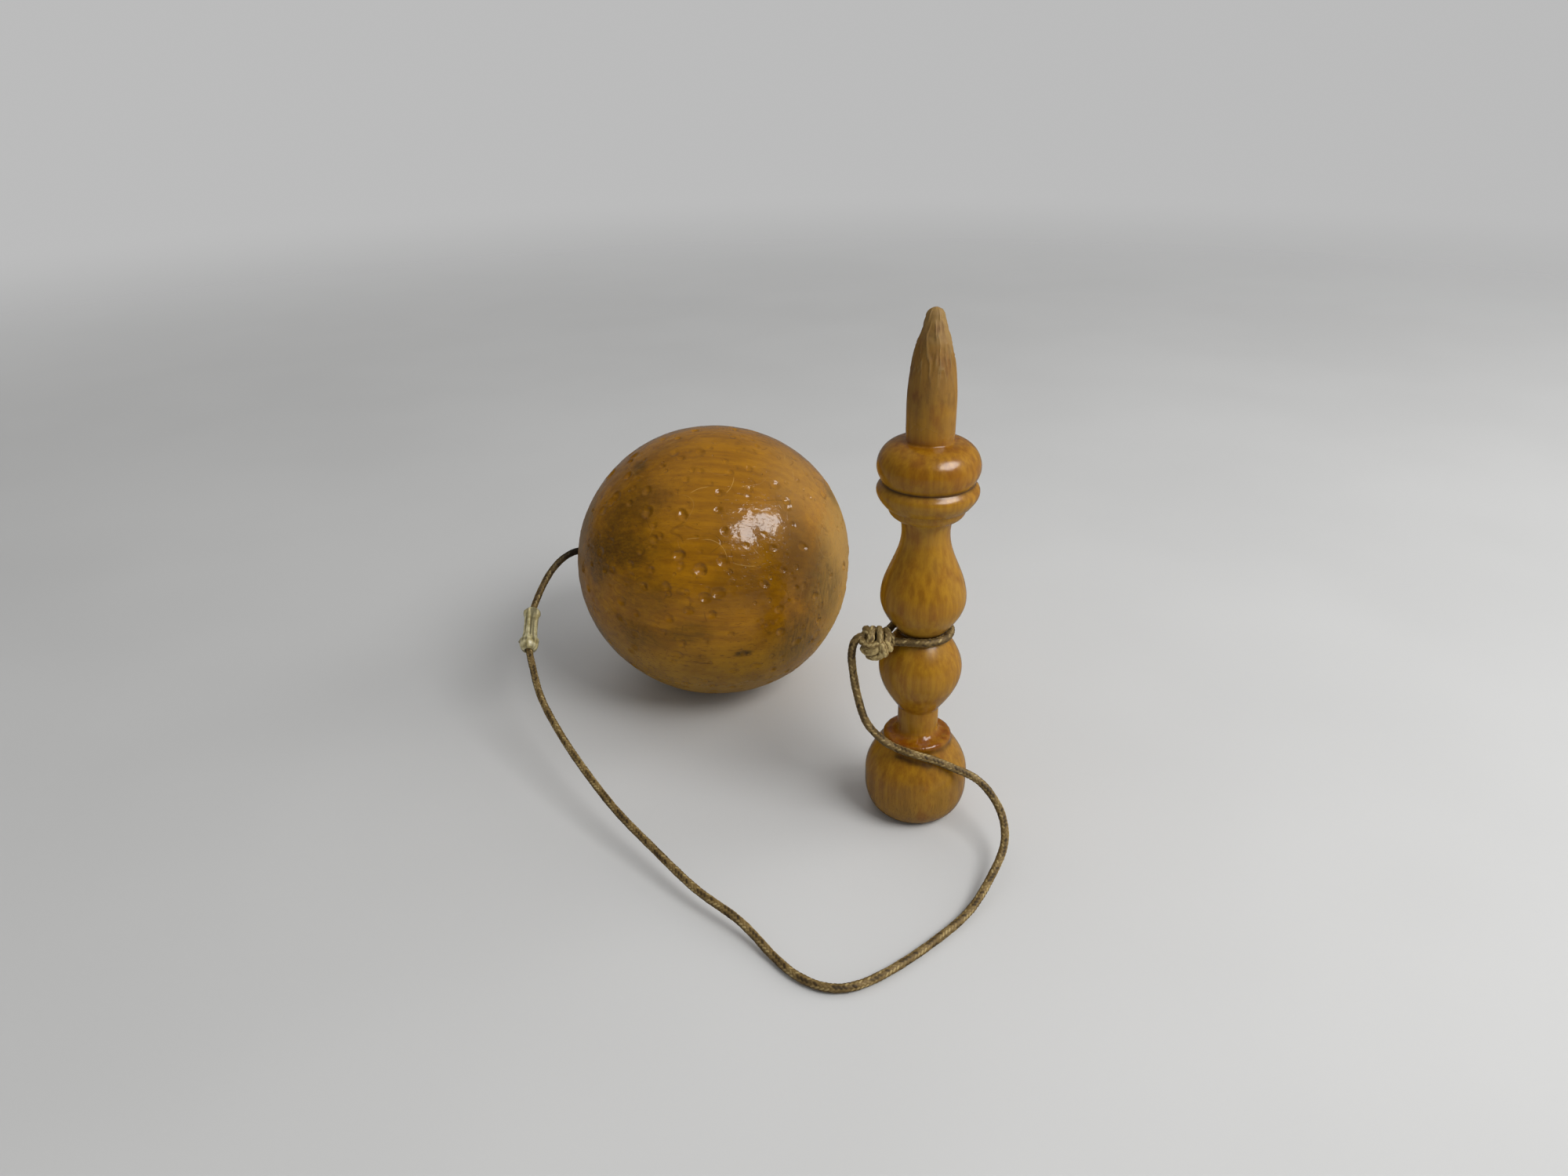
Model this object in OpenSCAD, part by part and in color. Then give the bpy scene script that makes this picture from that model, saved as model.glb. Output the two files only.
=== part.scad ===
// Spike-and-ball catching toy: a turned wooden handle with a blunt spike, and a
// bored wooden ball on a braided cord that is tied round the handle's neck.
// Millimetres. The origin is the centre of the handle's foot, and +Z is up.

/* [Foot] */
// Radius of the flat ring that the handle stands on
foot_base_r = 10; // [8:0.5:13]
// Radius of the foot's belly
foot_r = 16.4; // [14:0.1:20]
// Height of the rounded bottom, from the floor to the belly
belly_h = 10.5; // [8:0.5:14]
// Height of the belly's upright wall
belly_wall_h = 4; // [1:0.5:6]
// Height of the shoulder, from the belly to the collar
shoulder_h = 12.5; // [10:0.5:16]
// Radius of the collar on top of the foot
collar_r = 10.9; // [9:0.1:13]
// Thickness of the collar
collar_h = 2.1; // [1.2:0.1:4]
// Rounding of the collar's upper edge
collar_edge = 0.9; // [0.2:0.1:1.4]

/* [Grip] */
// Radius of the plain stem above the collar
stem_r = 6.4; // [5:0.1:8]
// Length of the plain stem
stem_h = 9.7; // [6:0.1:16]
// Radius of the hollow where the stem runs out into the collar
stem_flare = 1.6; // [0.5:0.1:2.5]
// Radius of the lower bulb
lower_bulb_r = 12.9; // [11:0.1:16]
// Height of the lower bulb below its widest point
lower_bulb_bottom_h = 14.5; // [10:0.5:20]
// Height of the lower bulb above its widest point
lower_bulb_top_h = 12.6; // [10:0.1:18]
// Radius at the bottom of the groove that holds the cord
neck_r = 6.9; // [5.5:0.1:8]
// Radius of the upper bulb
upper_bulb_r = 13; // [11:0.1:16]
// Height of the upper bulb below its widest point
upper_bulb_bottom_h = 11.5; // [10:0.1:16]
// Height of the upper bulb above its widest point
upper_bulb_top_h = 21.5; // [15:0.5:28]
// Radius of the throat above the upper bulb
throat_r = 7.2; // [6:0.1:9]
// Height of the cove from the throat to the head
throat_h = 4.9; // [3:0.1:7]

/* [Head] */
// Radius of the cove's lip under the disc
lip_r = 8.6; // [7.8:0.1:10]
// Radius of the thin disc under the bead
disc_r = 11.6; // [10:0.1:13]
// Thickness of the thin disc
disc_h = 3.7; // [2:0.1:5]
// Step from the disc out to the bead
bead_step = 0.9; // [0.4:0.1:1.5]
// Radius of the bead
bead_r = 15; // [13:0.1:18]
// Height of the bead below its widest point
bead_bottom_h = 4.7; // [3:0.1:7]
// Height of the bead above its widest point
bead_top_h = 2.6; // [2:0.1:5]
// Radius at the bottom of the groove between the bead and the ring
groove_r = 13.3; // [11:0.1:14]
// Radius of the ring under the spike
ring_r = 15; // [13:0.1:18]
// Height of the ring below its widest point
ring_bottom_h = 4.6; // [3:0.1:7]
// Height of the ring above its widest point
ring_top_h = 7.7; // [5:0.1:11]

/* [Spike] */
// Radius of the spike's straight base
spike_r = 7; // [5.5:0.1:8.5]
// Length of the spike's straight base
spike_base_h = 9.5; // [6:0.5:15]
// Length of the spike's taper
spike_taper_h = 25.2; // [18:0.1:32]
// Radius where the taper ends and the tip begins
tip_r = 2.6; // [1.5:0.1:4]
// Height of the rounded tip
tip_h = 2.7; // [1:0.1:4]

/* [Ball] */
// Diameter of the ball
ball_d = 101.6; // [90:0.2:112]
// Place of the ball's centre to the right of the handle's axis
ball_x = -68.2; // [-90:0.1:-60]
// Place of the ball's centre behind the handle's axis
ball_y = 84.6; // [75:0.1:110]
// Slope of the bore, down towards its mouth, in degrees
bore_tilt = 5.5; // [0:0.5:10]
// Gap round the spike when it is in the bore
bore_clearance = 0.3; // [0.1:0.1:0.5]
// Depth of the bore's straight wall, from the ball's surface
bore_depth = 40; // [36:0.5:43]
// Radius of the worn mouth of the bore
mouth_r = 9.3; // [8.9:0.1:12]
// Depth of the worn mouth
mouth_h = 3.2; // [2:0.1:5]
// Height of the bore's conical floor
bore_floor_h = 8; // [5:0.5:12]
// Gap round the cord in its hole through the ball
hole_clearance = 0.5; // [0.3:0.1:1]

/* [Cord] */
// Diameter of the cord
cord_d = 2.5; // [2:0.05:3]
// Gap between the cord and the wood that it lies on
cord_gap = 0.3; // [0.2:0.05:0.6]
// Direction of the knot round the handle, in degrees
knot_turn = 206; // [190:1:220]
// Distance from the loop to the middle of the knot
knot_reach = 7; // [6.5:0.1:9]
// Drop from the loop to the middle of the knot
knot_drop = 0.3; // [0:0.1:2.5]
// Distance between the two legs of the loop where they enter the knot
leg_spread = 3.5; // [3.5:0.1:4.5]
// Diameter of the tape that binds the two cords together
wrap_d = 5.4; // [4.5:0.1:7]
// Spare width of the tape's frayed lower edge
wrap_frill = 0.7; // [0.3:0.1:1.2]
// Radius of the stopper knot inside the ball, in cord diameters
stopper_size = 1.2; // [1:0.05:1.3]

/* [Hidden] */

// Straight pieces in each curve of the handle's outline
curve_steps = 10;
// Sides of the cord's tube, and rings for each stretch of its route
cord_sides = 8;
route_steps = 2;
// Points round the neck loop
loop_steps = 22;
// Half of the angle that the loop leaves open towards the knot
loop_open = 50;
// How far the cords' ends reach into a knot or the wrap
cord_lap = 1.5;
// Depth inside the ball at which the lead has come straight
lead_straight = 4;
// Smoothness of the turned pieces
$fn = 96;

cord_r = cord_d / 2;

// Heights of the handle's edges, from the floor up
belly_top_z = belly_h + belly_wall_h;
collar_z = belly_top_z + shoulder_h;
stem_z = collar_z + collar_h;
lower_bulb_z = stem_z + stem_h;
lower_crest_z = lower_bulb_z + lower_bulb_bottom_h;
neck_z = lower_crest_z + lower_bulb_top_h;
upper_crest_z = neck_z + upper_bulb_bottom_h;
throat_z = upper_crest_z + upper_bulb_top_h;
lip_z = throat_z + throat_h;
disc_z = lip_z + disc_h;
bead_crest_z = disc_z + bead_bottom_h;
groove_z = bead_crest_z + bead_top_h;
ring_crest_z = groove_z + ring_bottom_h;
spike_z = ring_crest_z + ring_top_h;
taper_z = spike_z + spike_base_h;
tip_z = taper_z + spike_taper_h;

// Curves of the outline, each without its last point, from a to b as [radius, height]
// Leaves a level and reaches b upright
function level_to_upright(a, b) = [
    for (i = [0:curve_steps - 1])
        let (t = 90 * i / curve_steps)
        [a.x + (b.x - a.x) * sin(t), a.y + (b.y - a.y) * (1 - cos(t))]
];
// Leaves a upright and reaches b level
function upright_to_level(a, b) = [
    for (i = [0:curve_steps - 1])
        let (t = 90 * i / curve_steps)
        [a.x + (b.x - a.x) * (1 - cos(t)), a.y + (b.y - a.y) * sin(t)]
];
// Rises from the corner a to the crest b
function corner_to_crest(a, b) = [
    for (i = [0:curve_steps - 1])
        let (u = i / curve_steps)
        [a.x + (b.x - a.x) * sin(90 * u), a.y + (b.y - a.y) * u]
];
// Falls from the crest a to the corner b
function crest_to_corner(a, b) = [
    for (i = [0:curve_steps - 1])
        let (u = i / curve_steps)
        [b.x + (a.x - b.x) * cos(90 * u), a.y + (b.y - a.y) * u]
];
// Sways from the crest a in to the waist b
function crest_to_waist(a, b) = [
    for (i = [0:curve_steps - 1])
        let (u = i / curve_steps)
        [b.x + (a.x - b.x) * (1 + cos(180 * u)) / 2, a.y + (b.y - a.y) * u]
];
// Tapers ever faster from a to b
function ogive(a, b) = [
    for (i = [0:curve_steps - 1])
        let (u = i / curve_steps)
        [a.x + (b.x - a.x) * u * u, a.y + (b.y - a.y) * u]
];

handle_outline = concat(
    [[0, 0]],
    level_to_upright([foot_base_r, 0], [foot_r, belly_h]),
    [[foot_r, belly_h]],
    crest_to_corner([foot_r, belly_top_z], [collar_r, collar_z]),
    [[collar_r, collar_z]],
    upright_to_level([collar_r, stem_z - collar_edge], [collar_r - collar_edge, stem_z]),
    [[collar_r - collar_edge, stem_z]],
    level_to_upright([stem_r + stem_flare, stem_z], [stem_r, stem_z + stem_flare]),
    [[stem_r, stem_z + stem_flare]],
    corner_to_crest([stem_r, lower_bulb_z], [lower_bulb_r, lower_crest_z]),
    crest_to_corner([lower_bulb_r, lower_crest_z], [neck_r, neck_z]),
    corner_to_crest([neck_r, neck_z], [upper_bulb_r, upper_crest_z]),
    crest_to_waist([upper_bulb_r, upper_crest_z], [throat_r, throat_z]),
    upright_to_level([throat_r, throat_z], [lip_r, lip_z]),
    level_to_upright([lip_r, lip_z], [disc_r, disc_z]),
    [[disc_r, disc_z]],
    corner_to_crest([disc_r + bead_step, disc_z], [bead_r, bead_crest_z]),
    crest_to_corner([bead_r, bead_crest_z], [groove_r, groove_z]),
    corner_to_crest([groove_r, groove_z], [ring_r, ring_crest_z]),
    upright_to_level([ring_r, ring_crest_z], [spike_r, spike_z]),
    [[spike_r, spike_z]],
    ogive([spike_r, taper_z], [tip_r, tip_z]),
    upright_to_level([tip_r, tip_z], [0, tip_z + tip_h]),
    [[0, tip_z + tip_h]]
);

// Bore of the ball, as distances from its centre along the bore, out of the mouth
ball_r = ball_d / 2;
ball_at = [ball_x, ball_y, ball_r];
bore_out = [cos(bore_tilt), 0, -sin(bore_tilt)];
bore_r = spike_r + bore_clearance;
hole_r = cord_r + hole_clearance;
mouth_s = ball_r - mouth_h;
bore_s = ball_r - bore_depth;
hole_s = bore_s - bore_floor_h;

// The stopper knot rests in the bore's conical floor
stopper_r = stopper_size * cord_d;
floor_slope = (bore_r - hole_r) / bore_floor_h;
stopper_s = hole_s + ((stopper_r + cord_gap) * norm([1, floor_slope]) - hole_r) / floor_slope;

// Loop in the neck's groove, clear of the steeper of its two sides
lower_slope = PI / 2 * (lower_bulb_r - neck_r) / lower_bulb_top_h;
upper_slope = PI / 2 * (upper_bulb_r - neck_r) / upper_bulb_bottom_h;
loop_r = neck_r + (cord_r + cord_gap) * norm([1, max(lower_slope, upper_slope)]);

// Point beside the handle's axis, as a distance out towards the knot, one across and a height
function beside(out, across, up) = [
    out * cos(knot_turn) - across * sin(knot_turn),
    out * sin(knot_turn) + across * cos(knot_turn),
    up
];

knot_out = loop_r + knot_reach;
knot_at = beside(knot_out, 0, neck_z - knot_drop);

// Radius of the knot's core, and its crossing strands as [out, across, up, radius], in cord diameters
knot_core = 1.8;
knot_strands = [
    [0, 0.5, 1.55, 0.93],
    [0.8, -0.3, 1.55, 0.82],
    [1.2, -0.55, 2.3, 0.64],
    [-1.2, 0.45, 0.6, 0.88],
    [-1, 0.55, -1, 0.93],
    [1.1, 0.3, -1, 0.93],
    [0.1, 0.4, -1.55, 0.95]
];
knot_core_r = knot_core * cord_d;

leg_out = knot_out - knot_core_r + cord_lap;
loop_route = concat(
    [beside(leg_out, leg_spread / 2, neck_z - knot_drop / 2)],
    [for (i = [0:loop_steps])
        let (turn = loop_open + (360 - 2 * loop_open) * i / loop_steps)
        beside(loop_r * cos(turn), loop_r * sin(turn), neck_z)],
    [beside(leg_out, -leg_spread / 2, neck_z - knot_drop / 2)]
);

// Route of the long cord: down from the knot, across the foot's shoulder, along the floor and up again
long_start = knot_at + [-3, 0, 1.9];
long_points = [
    [-19.6, -7, 67.3], [-21.1, -7, 65.7], [-21.8, -7, 62.8], [-21.8, -7, 58.5], [-20.3, -8, 48.5],
    [-17.4, -9, 38.5], [-12.4, -9.2, 31.8], [-8, -10.2, 29.1], [-2.4, -12.5, 28], [4.1, -13, 25.9],
    [10.6, -12.8, 22.5], [17, -13, 19], [21.5, -16, 15.5], [24.5, -22.5, 11.5], [24, -31, 7.8],
    [19, -41, 4.8], [10, -54, 2], [-2, -65.5, 1.4], [-15, -75.7, 1.4], [-25, -81, 1.4],
    [-33, -81.2, 1.4], [-40.5, -77, 1.4],
    [-47, -69.8, 1.6], [-52.5, -63, 3], [-58, -57.5, 4.6], [-70, -46.5, 5.7], [-83.2, -31.5, 7.9],
    [-97.3, -15, 11], [-110.2, 3, 14.9], [-120, 18, 18.9], [-128, 32, 23.7], [-132.5, 43.5, 29.5]
];
wrap_from = [-134.8, 51, 33];
wrap_to = [-135.5, 65, 39.8];

// Route of the short lead: from the wrap up to the ball, and through it to the stopper knot
lead_points = [
    [-134.3, 69.5, 42.9], [-132.2, 74.3, 46.8], [-129.6, 78.3, 50.3], [-126.2, 81.8, 53.2], [-122.4, 84, 55]
];
lead_in = [for (depth = [0, lead_straight]) ball_at - (ball_r - depth) * bore_out];
stopper_at = ball_at + stopper_s * bore_out;

function unit(v) = v / norm(v);

// Points of a smooth curve through the points p
function smooth(p) = let (
    last = len(p) - 1,
    q = concat([2 * p[0] - p[1]], p, [2 * p[last] - p[last - 1]])
) concat(
    [for (i = [1:last], k = [0:route_steps - 1])
        let (t = k / route_steps, a = q[i - 1], b = q[i], c = q[i + 1], d = q[i + 2])
        b + ((c - a) + ((2 * a - 5 * b + 4 * c - d) + (3 * b - a - 3 * c + d) * t) * t) * t / 2],
    [p[last]]
);

// Direction of the route p at each of its points
function headings(p) = [
    for (i = [0:len(p) - 1]) unit(p[min(i + 1, len(p) - 1)] - p[max(i - 1, 0)])
];

// A direction square to each heading, carried along the route without twisting
function sides(h) = [
    for (i = 0, n = unit(cross(h[0], [0.3, 0.8, 0.5]));
         i < len(h);
         i = i + 1, n = i < len(h) ? unit(n - (n * h[i]) * h[i]) : n) n
];

// Tube of radius r along the route p, closed at both ends
module tube(p, r) {
    h = headings(p);
    n = sides(h);
    rings = len(p);
    turn = 360 / cord_sides;
    points = [for (i = [0:rings - 1], j = [0:cord_sides - 1])
        p[i] + r * (cos(turn * j) * n[i] + sin(turn * j) * cross(h[i], n[i]))];
    last = (rings - 1) * cord_sides;
    walls = [for (i = [0:rings - 2], j = [0:cord_sides - 1])
        let (a = i * cord_sides + j, b = i * cord_sides + (j + 1) % cord_sides)
        each [[a, a + cord_sides, b], [b, a + cord_sides, b + cord_sides]]];
    start_cap = [for (j = [1:cord_sides - 2]) [0, j, j + 1]];
    end_cap = [for (j = [1:cord_sides - 2]) [last, last + j + 1, last + j]];
    polyhedron(points, concat(walls, start_cap, end_cap));
}

// Length of the route p
function route_length(p) = let (
    steps = [for (i = [1:len(p) - 1]) norm(p[i] - p[i - 1])]
) steps * [for (s = steps) 1];

// Least gap between two turns of a tube of diameter d along the route p, a few points apart
function least_gap(p, d) = min([
    for (i = [0:len(p) - 5], j = [i + 4:len(p) - 1]) norm(p[i] - p[j])
]) - d;

// Turns a shape that stands on +Z to lie from a towards b
module along(a, b) {
    v = b - a;
    translate(a)
        rotate([0, acos(v.z / norm(v)), atan2(v.y, v.x)])
            children();
}

module handle() {
    color("#b8802f")
        rotate_extrude()
            polygon(handle_outline);
}

// The ball's bore, its worn mouth and the cord's hole are one turned shape on the bore's axis
module ball() {
    past = ball_r + mouth_h;
    color("#a8691f")
        difference() {
            translate(ball_at)
                sphere(d = ball_d);
            along(ball_at, ball_at + bore_out)
                rotate_extrude()
                    polygon([
                        [0, -past], [hole_r, -past], [hole_r, hole_s], [bore_r, bore_s], [bore_r, mouth_s],
                        [mouth_r, ball_r], [mouth_r, past], [0, past]
                    ]);
        }
}

module neck_loop() {
    color("#7d6a48")
        tube(loop_route, cord_r);
}

module neck_knot() {
    color("#8a7752")
        translate(knot_at)
            union() {
                sphere(r = knot_core_r);
                for (s = knot_strands)
                    translate(cord_d * beside(s[0], s[1], s[2]))
                        sphere(r = cord_d * s[3]);
            }
}

long_route = smooth(concat([long_start], long_points, [wrap_from]));

module long_cord() {
    color("#7d6a48")
        tube(long_route, cord_r);
}

// The tape is drawn in at its middle and frayed at its lower edge
module splice_wrap() {
    wrap_r = wrap_d / 2;
    wrap_l = norm(wrap_to - wrap_from) + 2 * cord_lap;
    frill_h = wrap_l / 6;
    taper_h = wrap_l / 6;
    color("#cfc08a")
        along(wrap_from, wrap_to)
            translate([0, 0, -cord_lap])
                rotate_extrude()
                    polygon([
                        [0, 0], [wrap_r, 0], [wrap_r + wrap_frill, frill_h], [wrap_r, 2 * frill_h],
                        [wrap_r, wrap_l - taper_h], [cord_r + wrap_frill, wrap_l], [0, wrap_l]
                    ]);
}

lead_route = concat(smooth(concat([wrap_to], lead_points, lead_in)), [stopper_at]);

module ball_lead() {
    color("#6b5a3d")
        tube(lead_route, cord_r);
}

module stopper_knot() {
    color("#8a7752")
        translate(stopper_at)
            sphere(r = stopper_r);
}

echo(handle_height = tip_z + tip_h);
echo(neck_loop_gap = least_gap(loop_route, cord_d));
echo(cord_lengths = [route_length(loop_route), route_length(long_route), route_length(lead_route)]);

handle();
ball();
neck_loop();
neck_knot();
long_cord();
splice_wrap();
ball_lead();
stopper_knot();
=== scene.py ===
import math

import bpy
import numpy as np
from mathutils import Matrix, Vector, noise


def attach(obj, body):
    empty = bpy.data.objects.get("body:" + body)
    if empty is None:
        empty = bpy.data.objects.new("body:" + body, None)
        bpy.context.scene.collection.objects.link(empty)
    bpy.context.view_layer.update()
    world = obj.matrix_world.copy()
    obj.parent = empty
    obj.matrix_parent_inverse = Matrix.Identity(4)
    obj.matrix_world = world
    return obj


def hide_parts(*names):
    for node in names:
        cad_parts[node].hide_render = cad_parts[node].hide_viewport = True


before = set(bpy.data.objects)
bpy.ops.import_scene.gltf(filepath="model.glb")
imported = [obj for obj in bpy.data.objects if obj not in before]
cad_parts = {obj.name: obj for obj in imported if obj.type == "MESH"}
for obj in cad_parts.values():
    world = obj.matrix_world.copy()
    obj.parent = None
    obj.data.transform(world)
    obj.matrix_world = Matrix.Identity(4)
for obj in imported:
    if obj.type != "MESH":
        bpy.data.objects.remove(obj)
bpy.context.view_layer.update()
mm = 0.001
print("frame loaded")


# Camera

cameraLook = {
    "at": (-42.126, -300.65, 232.503),  # mm
    "tiltDown": 26.766,  # degrees, as the roll is
    "roll": -1.0353,
    "focalPixels": 1423.15,
    "framePixels": 2000,
    "sensor": 36.0,  # mm
    "clip": (0.01, 30),  # m
}


def placeCamera(look):
    data = bpy.data.cameras.new("tableCamera")
    data.sensor_fit = "HORIZONTAL"
    data.sensor_width = look["sensor"]
    data.lens = look["sensor"] * look["focalPixels"] / look["framePixels"]
    data.clip_start, data.clip_end = look["clip"]
    camera = bpy.data.objects.new("tableCamera", data)
    bpy.context.scene.collection.objects.link(camera)
    tilt = Matrix.Rotation(math.radians(90 - look["tiltDown"]), 4, "X")
    roll = Matrix.Rotation(math.radians(look["roll"]), 4, "Z")
    camera.matrix_world = Matrix.Translation(Vector(look["at"]) * mm) @ tilt @ roll
    bpy.context.scene.camera = camera


placeCamera(cameraLook)
print("camera placed")


# Shader tools

def tint(code):
    channels = [int(code[i:i + 2], 16) / 255 for i in (1, 3, 5)]
    return [c / 12.92 if c < 0.04045 else ((c + 0.055) / 1.055) ** 2.4 for c in channels] + [1.0]


def feed(tree, socket, value):
    if isinstance(value, bpy.types.NodeSocket):
        tree.links.new(value, socket)
    else:
        socket.default_value = value


def addNode(tree, kind, inputs=None, **settings):
    made = tree.nodes.new("ShaderNode" + kind)
    for key, value in settings.items():
        setattr(made, key, value)
    for key, value in (inputs or {}).items():
        feed(tree, made.inputs[key], value)
    return made


def calc(tree, operation, *values, clamp=False):
    made = addNode(tree, "Math", operation=operation, use_clamp=clamp)
    for socket, value in zip(made.inputs, values):
        feed(tree, socket, value)
    return made.outputs[0]


def vectorCalc(tree, operation, *values):
    made = addNode(tree, "VectorMath", operation=operation)
    for socket, value in zip(made.inputs, values):
        feed(tree, socket, value)
    return made.outputs["Value" if operation in ("DOT_PRODUCT", "LENGTH", "DISTANCE") else "Vector"]


easeInputs = ("Value", "From Min", "From Max", "To Min", "To Max")


def ease(tree, value, low, high, start=0.0, end=1.0):  # a soft step between two levels
    levels = dict(zip(easeInputs, (value, low, high, start, end)))
    return addNode(tree, "MapRange", levels, interpolation_type="SMOOTHSTEP").outputs["Result"]


def blendColour(tree, share, under, over):
    made = addNode(tree, "Mix", data_type="RGBA")
    for place, value in zip((0, 6, 7), (share, under, over)):  # the factor and the two colour sockets
        feed(tree, made.inputs[place], value)
    return made.outputs[2]


def paintOver(tree, colour, mask, strength, code):  # one more colour, where the mask shows
    return blendColour(tree, calc(tree, "MULTIPLY", mask, strength), colour, tint(code))


def about(tree, value, middle, amount):  # how far a value lies from a middle, times an amount
    return calc(tree, "MULTIPLY", calc(tree, "SUBTRACT", value, middle), amount)


def addUp(tree, *shares):  # the sum of values, each times its amount
    total = 0.0
    for value, amount in shares:
        total = calc(tree, "ADD", total, calc(tree, "MULTIPLY", value, amount))
    return total


def cloud(tree, vector, scale, detail=3.0, roughness=0.55, distortion=0.0):  # noise about 0.5
    values = {"Vector": vector, "Scale": scale, "Detail": detail, "Roughness": roughness}
    return addNode(tree, "TexNoise", {**values, "Distortion": distortion}).outputs["Fac"]


def vertexValue(tree, name):
    return addNode(tree, "Attribute", attribute_name=name).outputs["Fac"]


def useGroup(tree, group, **inputs):
    return addNode(tree, "Group", inputs, node_tree=group).outputs


def newGroup(name, inputs, outputs):
    group = bpy.data.node_groups.new(name, "ShaderNodeTree")
    for key, value in inputs.items():
        kind = "NodeSocketFloat" if isinstance(value, float) else "NodeSocketVector"
        group.interface.new_socket(key, in_out="INPUT", socket_type=kind).default_value = value
    for key in outputs:
        group.interface.new_socket(key, in_out="OUTPUT", socket_type="NodeSocketFloat")
    return group, group.nodes.new("NodeGroupInput").outputs, group.nodes.new("NodeGroupOutput").inputs


def newMaterial(name):
    material = bpy.data.materials.new(name)
    material.use_nodes = True
    tree = material.node_tree
    return material, tree, tree.nodes["Principled BSDF"]


def finishSurface(tree, shader, colour, roughness, height=None, bump=0.3, reach=0.0002, **plain):
    feed(tree, shader.inputs["Base Color"], colour)
    feed(tree, shader.inputs["Roughness"], roughness)
    if height is not None:
        relief = addNode(tree, "Bump", {"Strength": bump, "Distance": reach, "Height": height})
        feed(tree, shader.inputs["Normal"], relief.outputs["Normal"])
    for key, value in plain.items():
        feed(tree, shader.inputs[key.replace("_", " ")], value)


varnishBase = {"Specular_IOR_Level": 0.45}


def grainGroup():  # short dark flecks and soft bands, running along Z of the vector
    sizes = {"Fleck Length": 0.004, "Fleck Width": 0.0003, "Amount": 0.5, "Band Width": 0.003}
    group, given, out = newGroup(
        "woodGrain", {"Vector": (0.0, 0.0, 0.0), **sizes}, ("Fleck", "Band", "Height"))
    across = calc(group, "DIVIDE", 1.0, given["Fleck Width"])
    along = calc(group, "DIVIDE", 1.0, given["Fleck Length"])
    stretch = addNode(group, "CombineXYZ", {"X": across, "Y": across, "Z": along}).outputs[0]
    fine = cloud(group, vectorCalc(group, "MULTIPLY", given["Vector"], stretch), 1.0, 2.0, 0.5)
    low = calc(group, "SUBTRACT", 0.78, calc(group, "MULTIPLY", given["Amount"], 0.3))
    fleck = ease(group, fine, low, calc(group, "ADD", low, 0.12))
    wide = calc(group, "DIVIDE", 1.0, given["Band Width"])
    far = calc(group, "MULTIPLY", along, 0.12)
    sway = addNode(group, "CombineXYZ", {"X": wide, "Y": wide, "Z": far}).outputs[0]
    band = cloud(group, vectorCalc(group, "MULTIPLY", given["Vector"], sway), 1.0, 3.0, 0.6)
    feed(group, out["Fleck"], fleck)
    feed(group, out["Band"], ease(group, band, 0.3, 0.7))
    feed(group, out["Height"], calc(group, "SUBTRACT", calc(group, "MULTIPLY", fine, 0.4), fleck))
    return group


def patchGroup():  # a spot about one point, with a broken edge
    places = {"Vector": (0.0, 0.0, 0.0), "Centre": (0.0, 0.0, 0.0), "Stretch": (1.0, 1.0, 1.0)}
    group, given, out = newGroup(
        "brokenPatch", {**places, "Radius": 0.01, "Ragged": 0.5, "Break": 300.0}, ("Mask",))
    off = vectorCalc(group, "SUBTRACT", given["Vector"], given["Centre"])
    off = vectorCalc(group, "MULTIPLY", off, given["Stretch"])
    share = calc(group, "DIVIDE", vectorCalc(group, "LENGTH", off), given["Radius"])
    torn = about(group, cloud(group, given["Vector"], given["Break"], 4.0, 0.65), 0.5,
                 calc(group, "MULTIPLY", given["Ragged"], 3.0))
    feed(group, out["Mask"], ease(group, calc(group, "ADD", share, torn), 0.25, 1.1, 1.0, 0.0))
    return group


def varnishGroup():  # the uneven skin of an old brushed varnish
    group, given, out = newGroup(
        "varnishSkin", {"Vector": (0.0, 0.0, 0.0), "Ripple": 0.0015}, ("Height", "Thin"))
    fine = calc(group, "DIVIDE", 1.0, given["Ripple"])
    ripple = cloud(group, given["Vector"], fine, 2.0, 0.5)
    broad = cloud(group, given["Vector"], calc(group, "MULTIPLY", fine, 0.09), 4.0, 0.6)
    feed(group, out["Height"], ripple)
    feed(group, out["Thin"], ease(group, broad, 0.35, 0.68))
    return group


def knockGroup():  # small round dents scattered over a worn surface
    group, given, out = newGroup(
        "smallKnocks", {"Vector": (0.0, 0.0, 0.0), "Spacing": 0.004, "Share": 0.5}, ("Height", "Rim"))
    scale = calc(group, "DIVIDE", 1.0, given["Spacing"])
    cells = addNode(group, "TexVoronoi", {"Vector": given["Vector"], "Scale": scale})
    chance = addNode(group, "SeparateColor", {"Color": cells.outputs["Color"]}).outputs
    size = calc(group, "MULTIPLY_ADD", calc(group, "POWER", chance["Red"], 2.0), 0.26, 0.06)
    share = calc(group, "DIVIDE", cells.outputs["Distance"], size)
    kept = calc(group, "LESS_THAN", chance["Green"], given["Share"])
    bowl = calc(group, "MULTIPLY", ease(group, share, 0.6, 1.0, 1.0, 0.0), kept)
    fromRim = calc(group, "ABSOLUTE", calc(group, "SUBTRACT", share, 0.95))
    ring = calc(group, "MULTIPLY", ease(group, fromRim, 0.05, 0.3, 1.0, 0.0), kept)
    feed(group, out["Height"], calc(group, "MULTIPLY", bowl, -1.0))
    feed(group, out["Rim"], ring)
    return group


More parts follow.
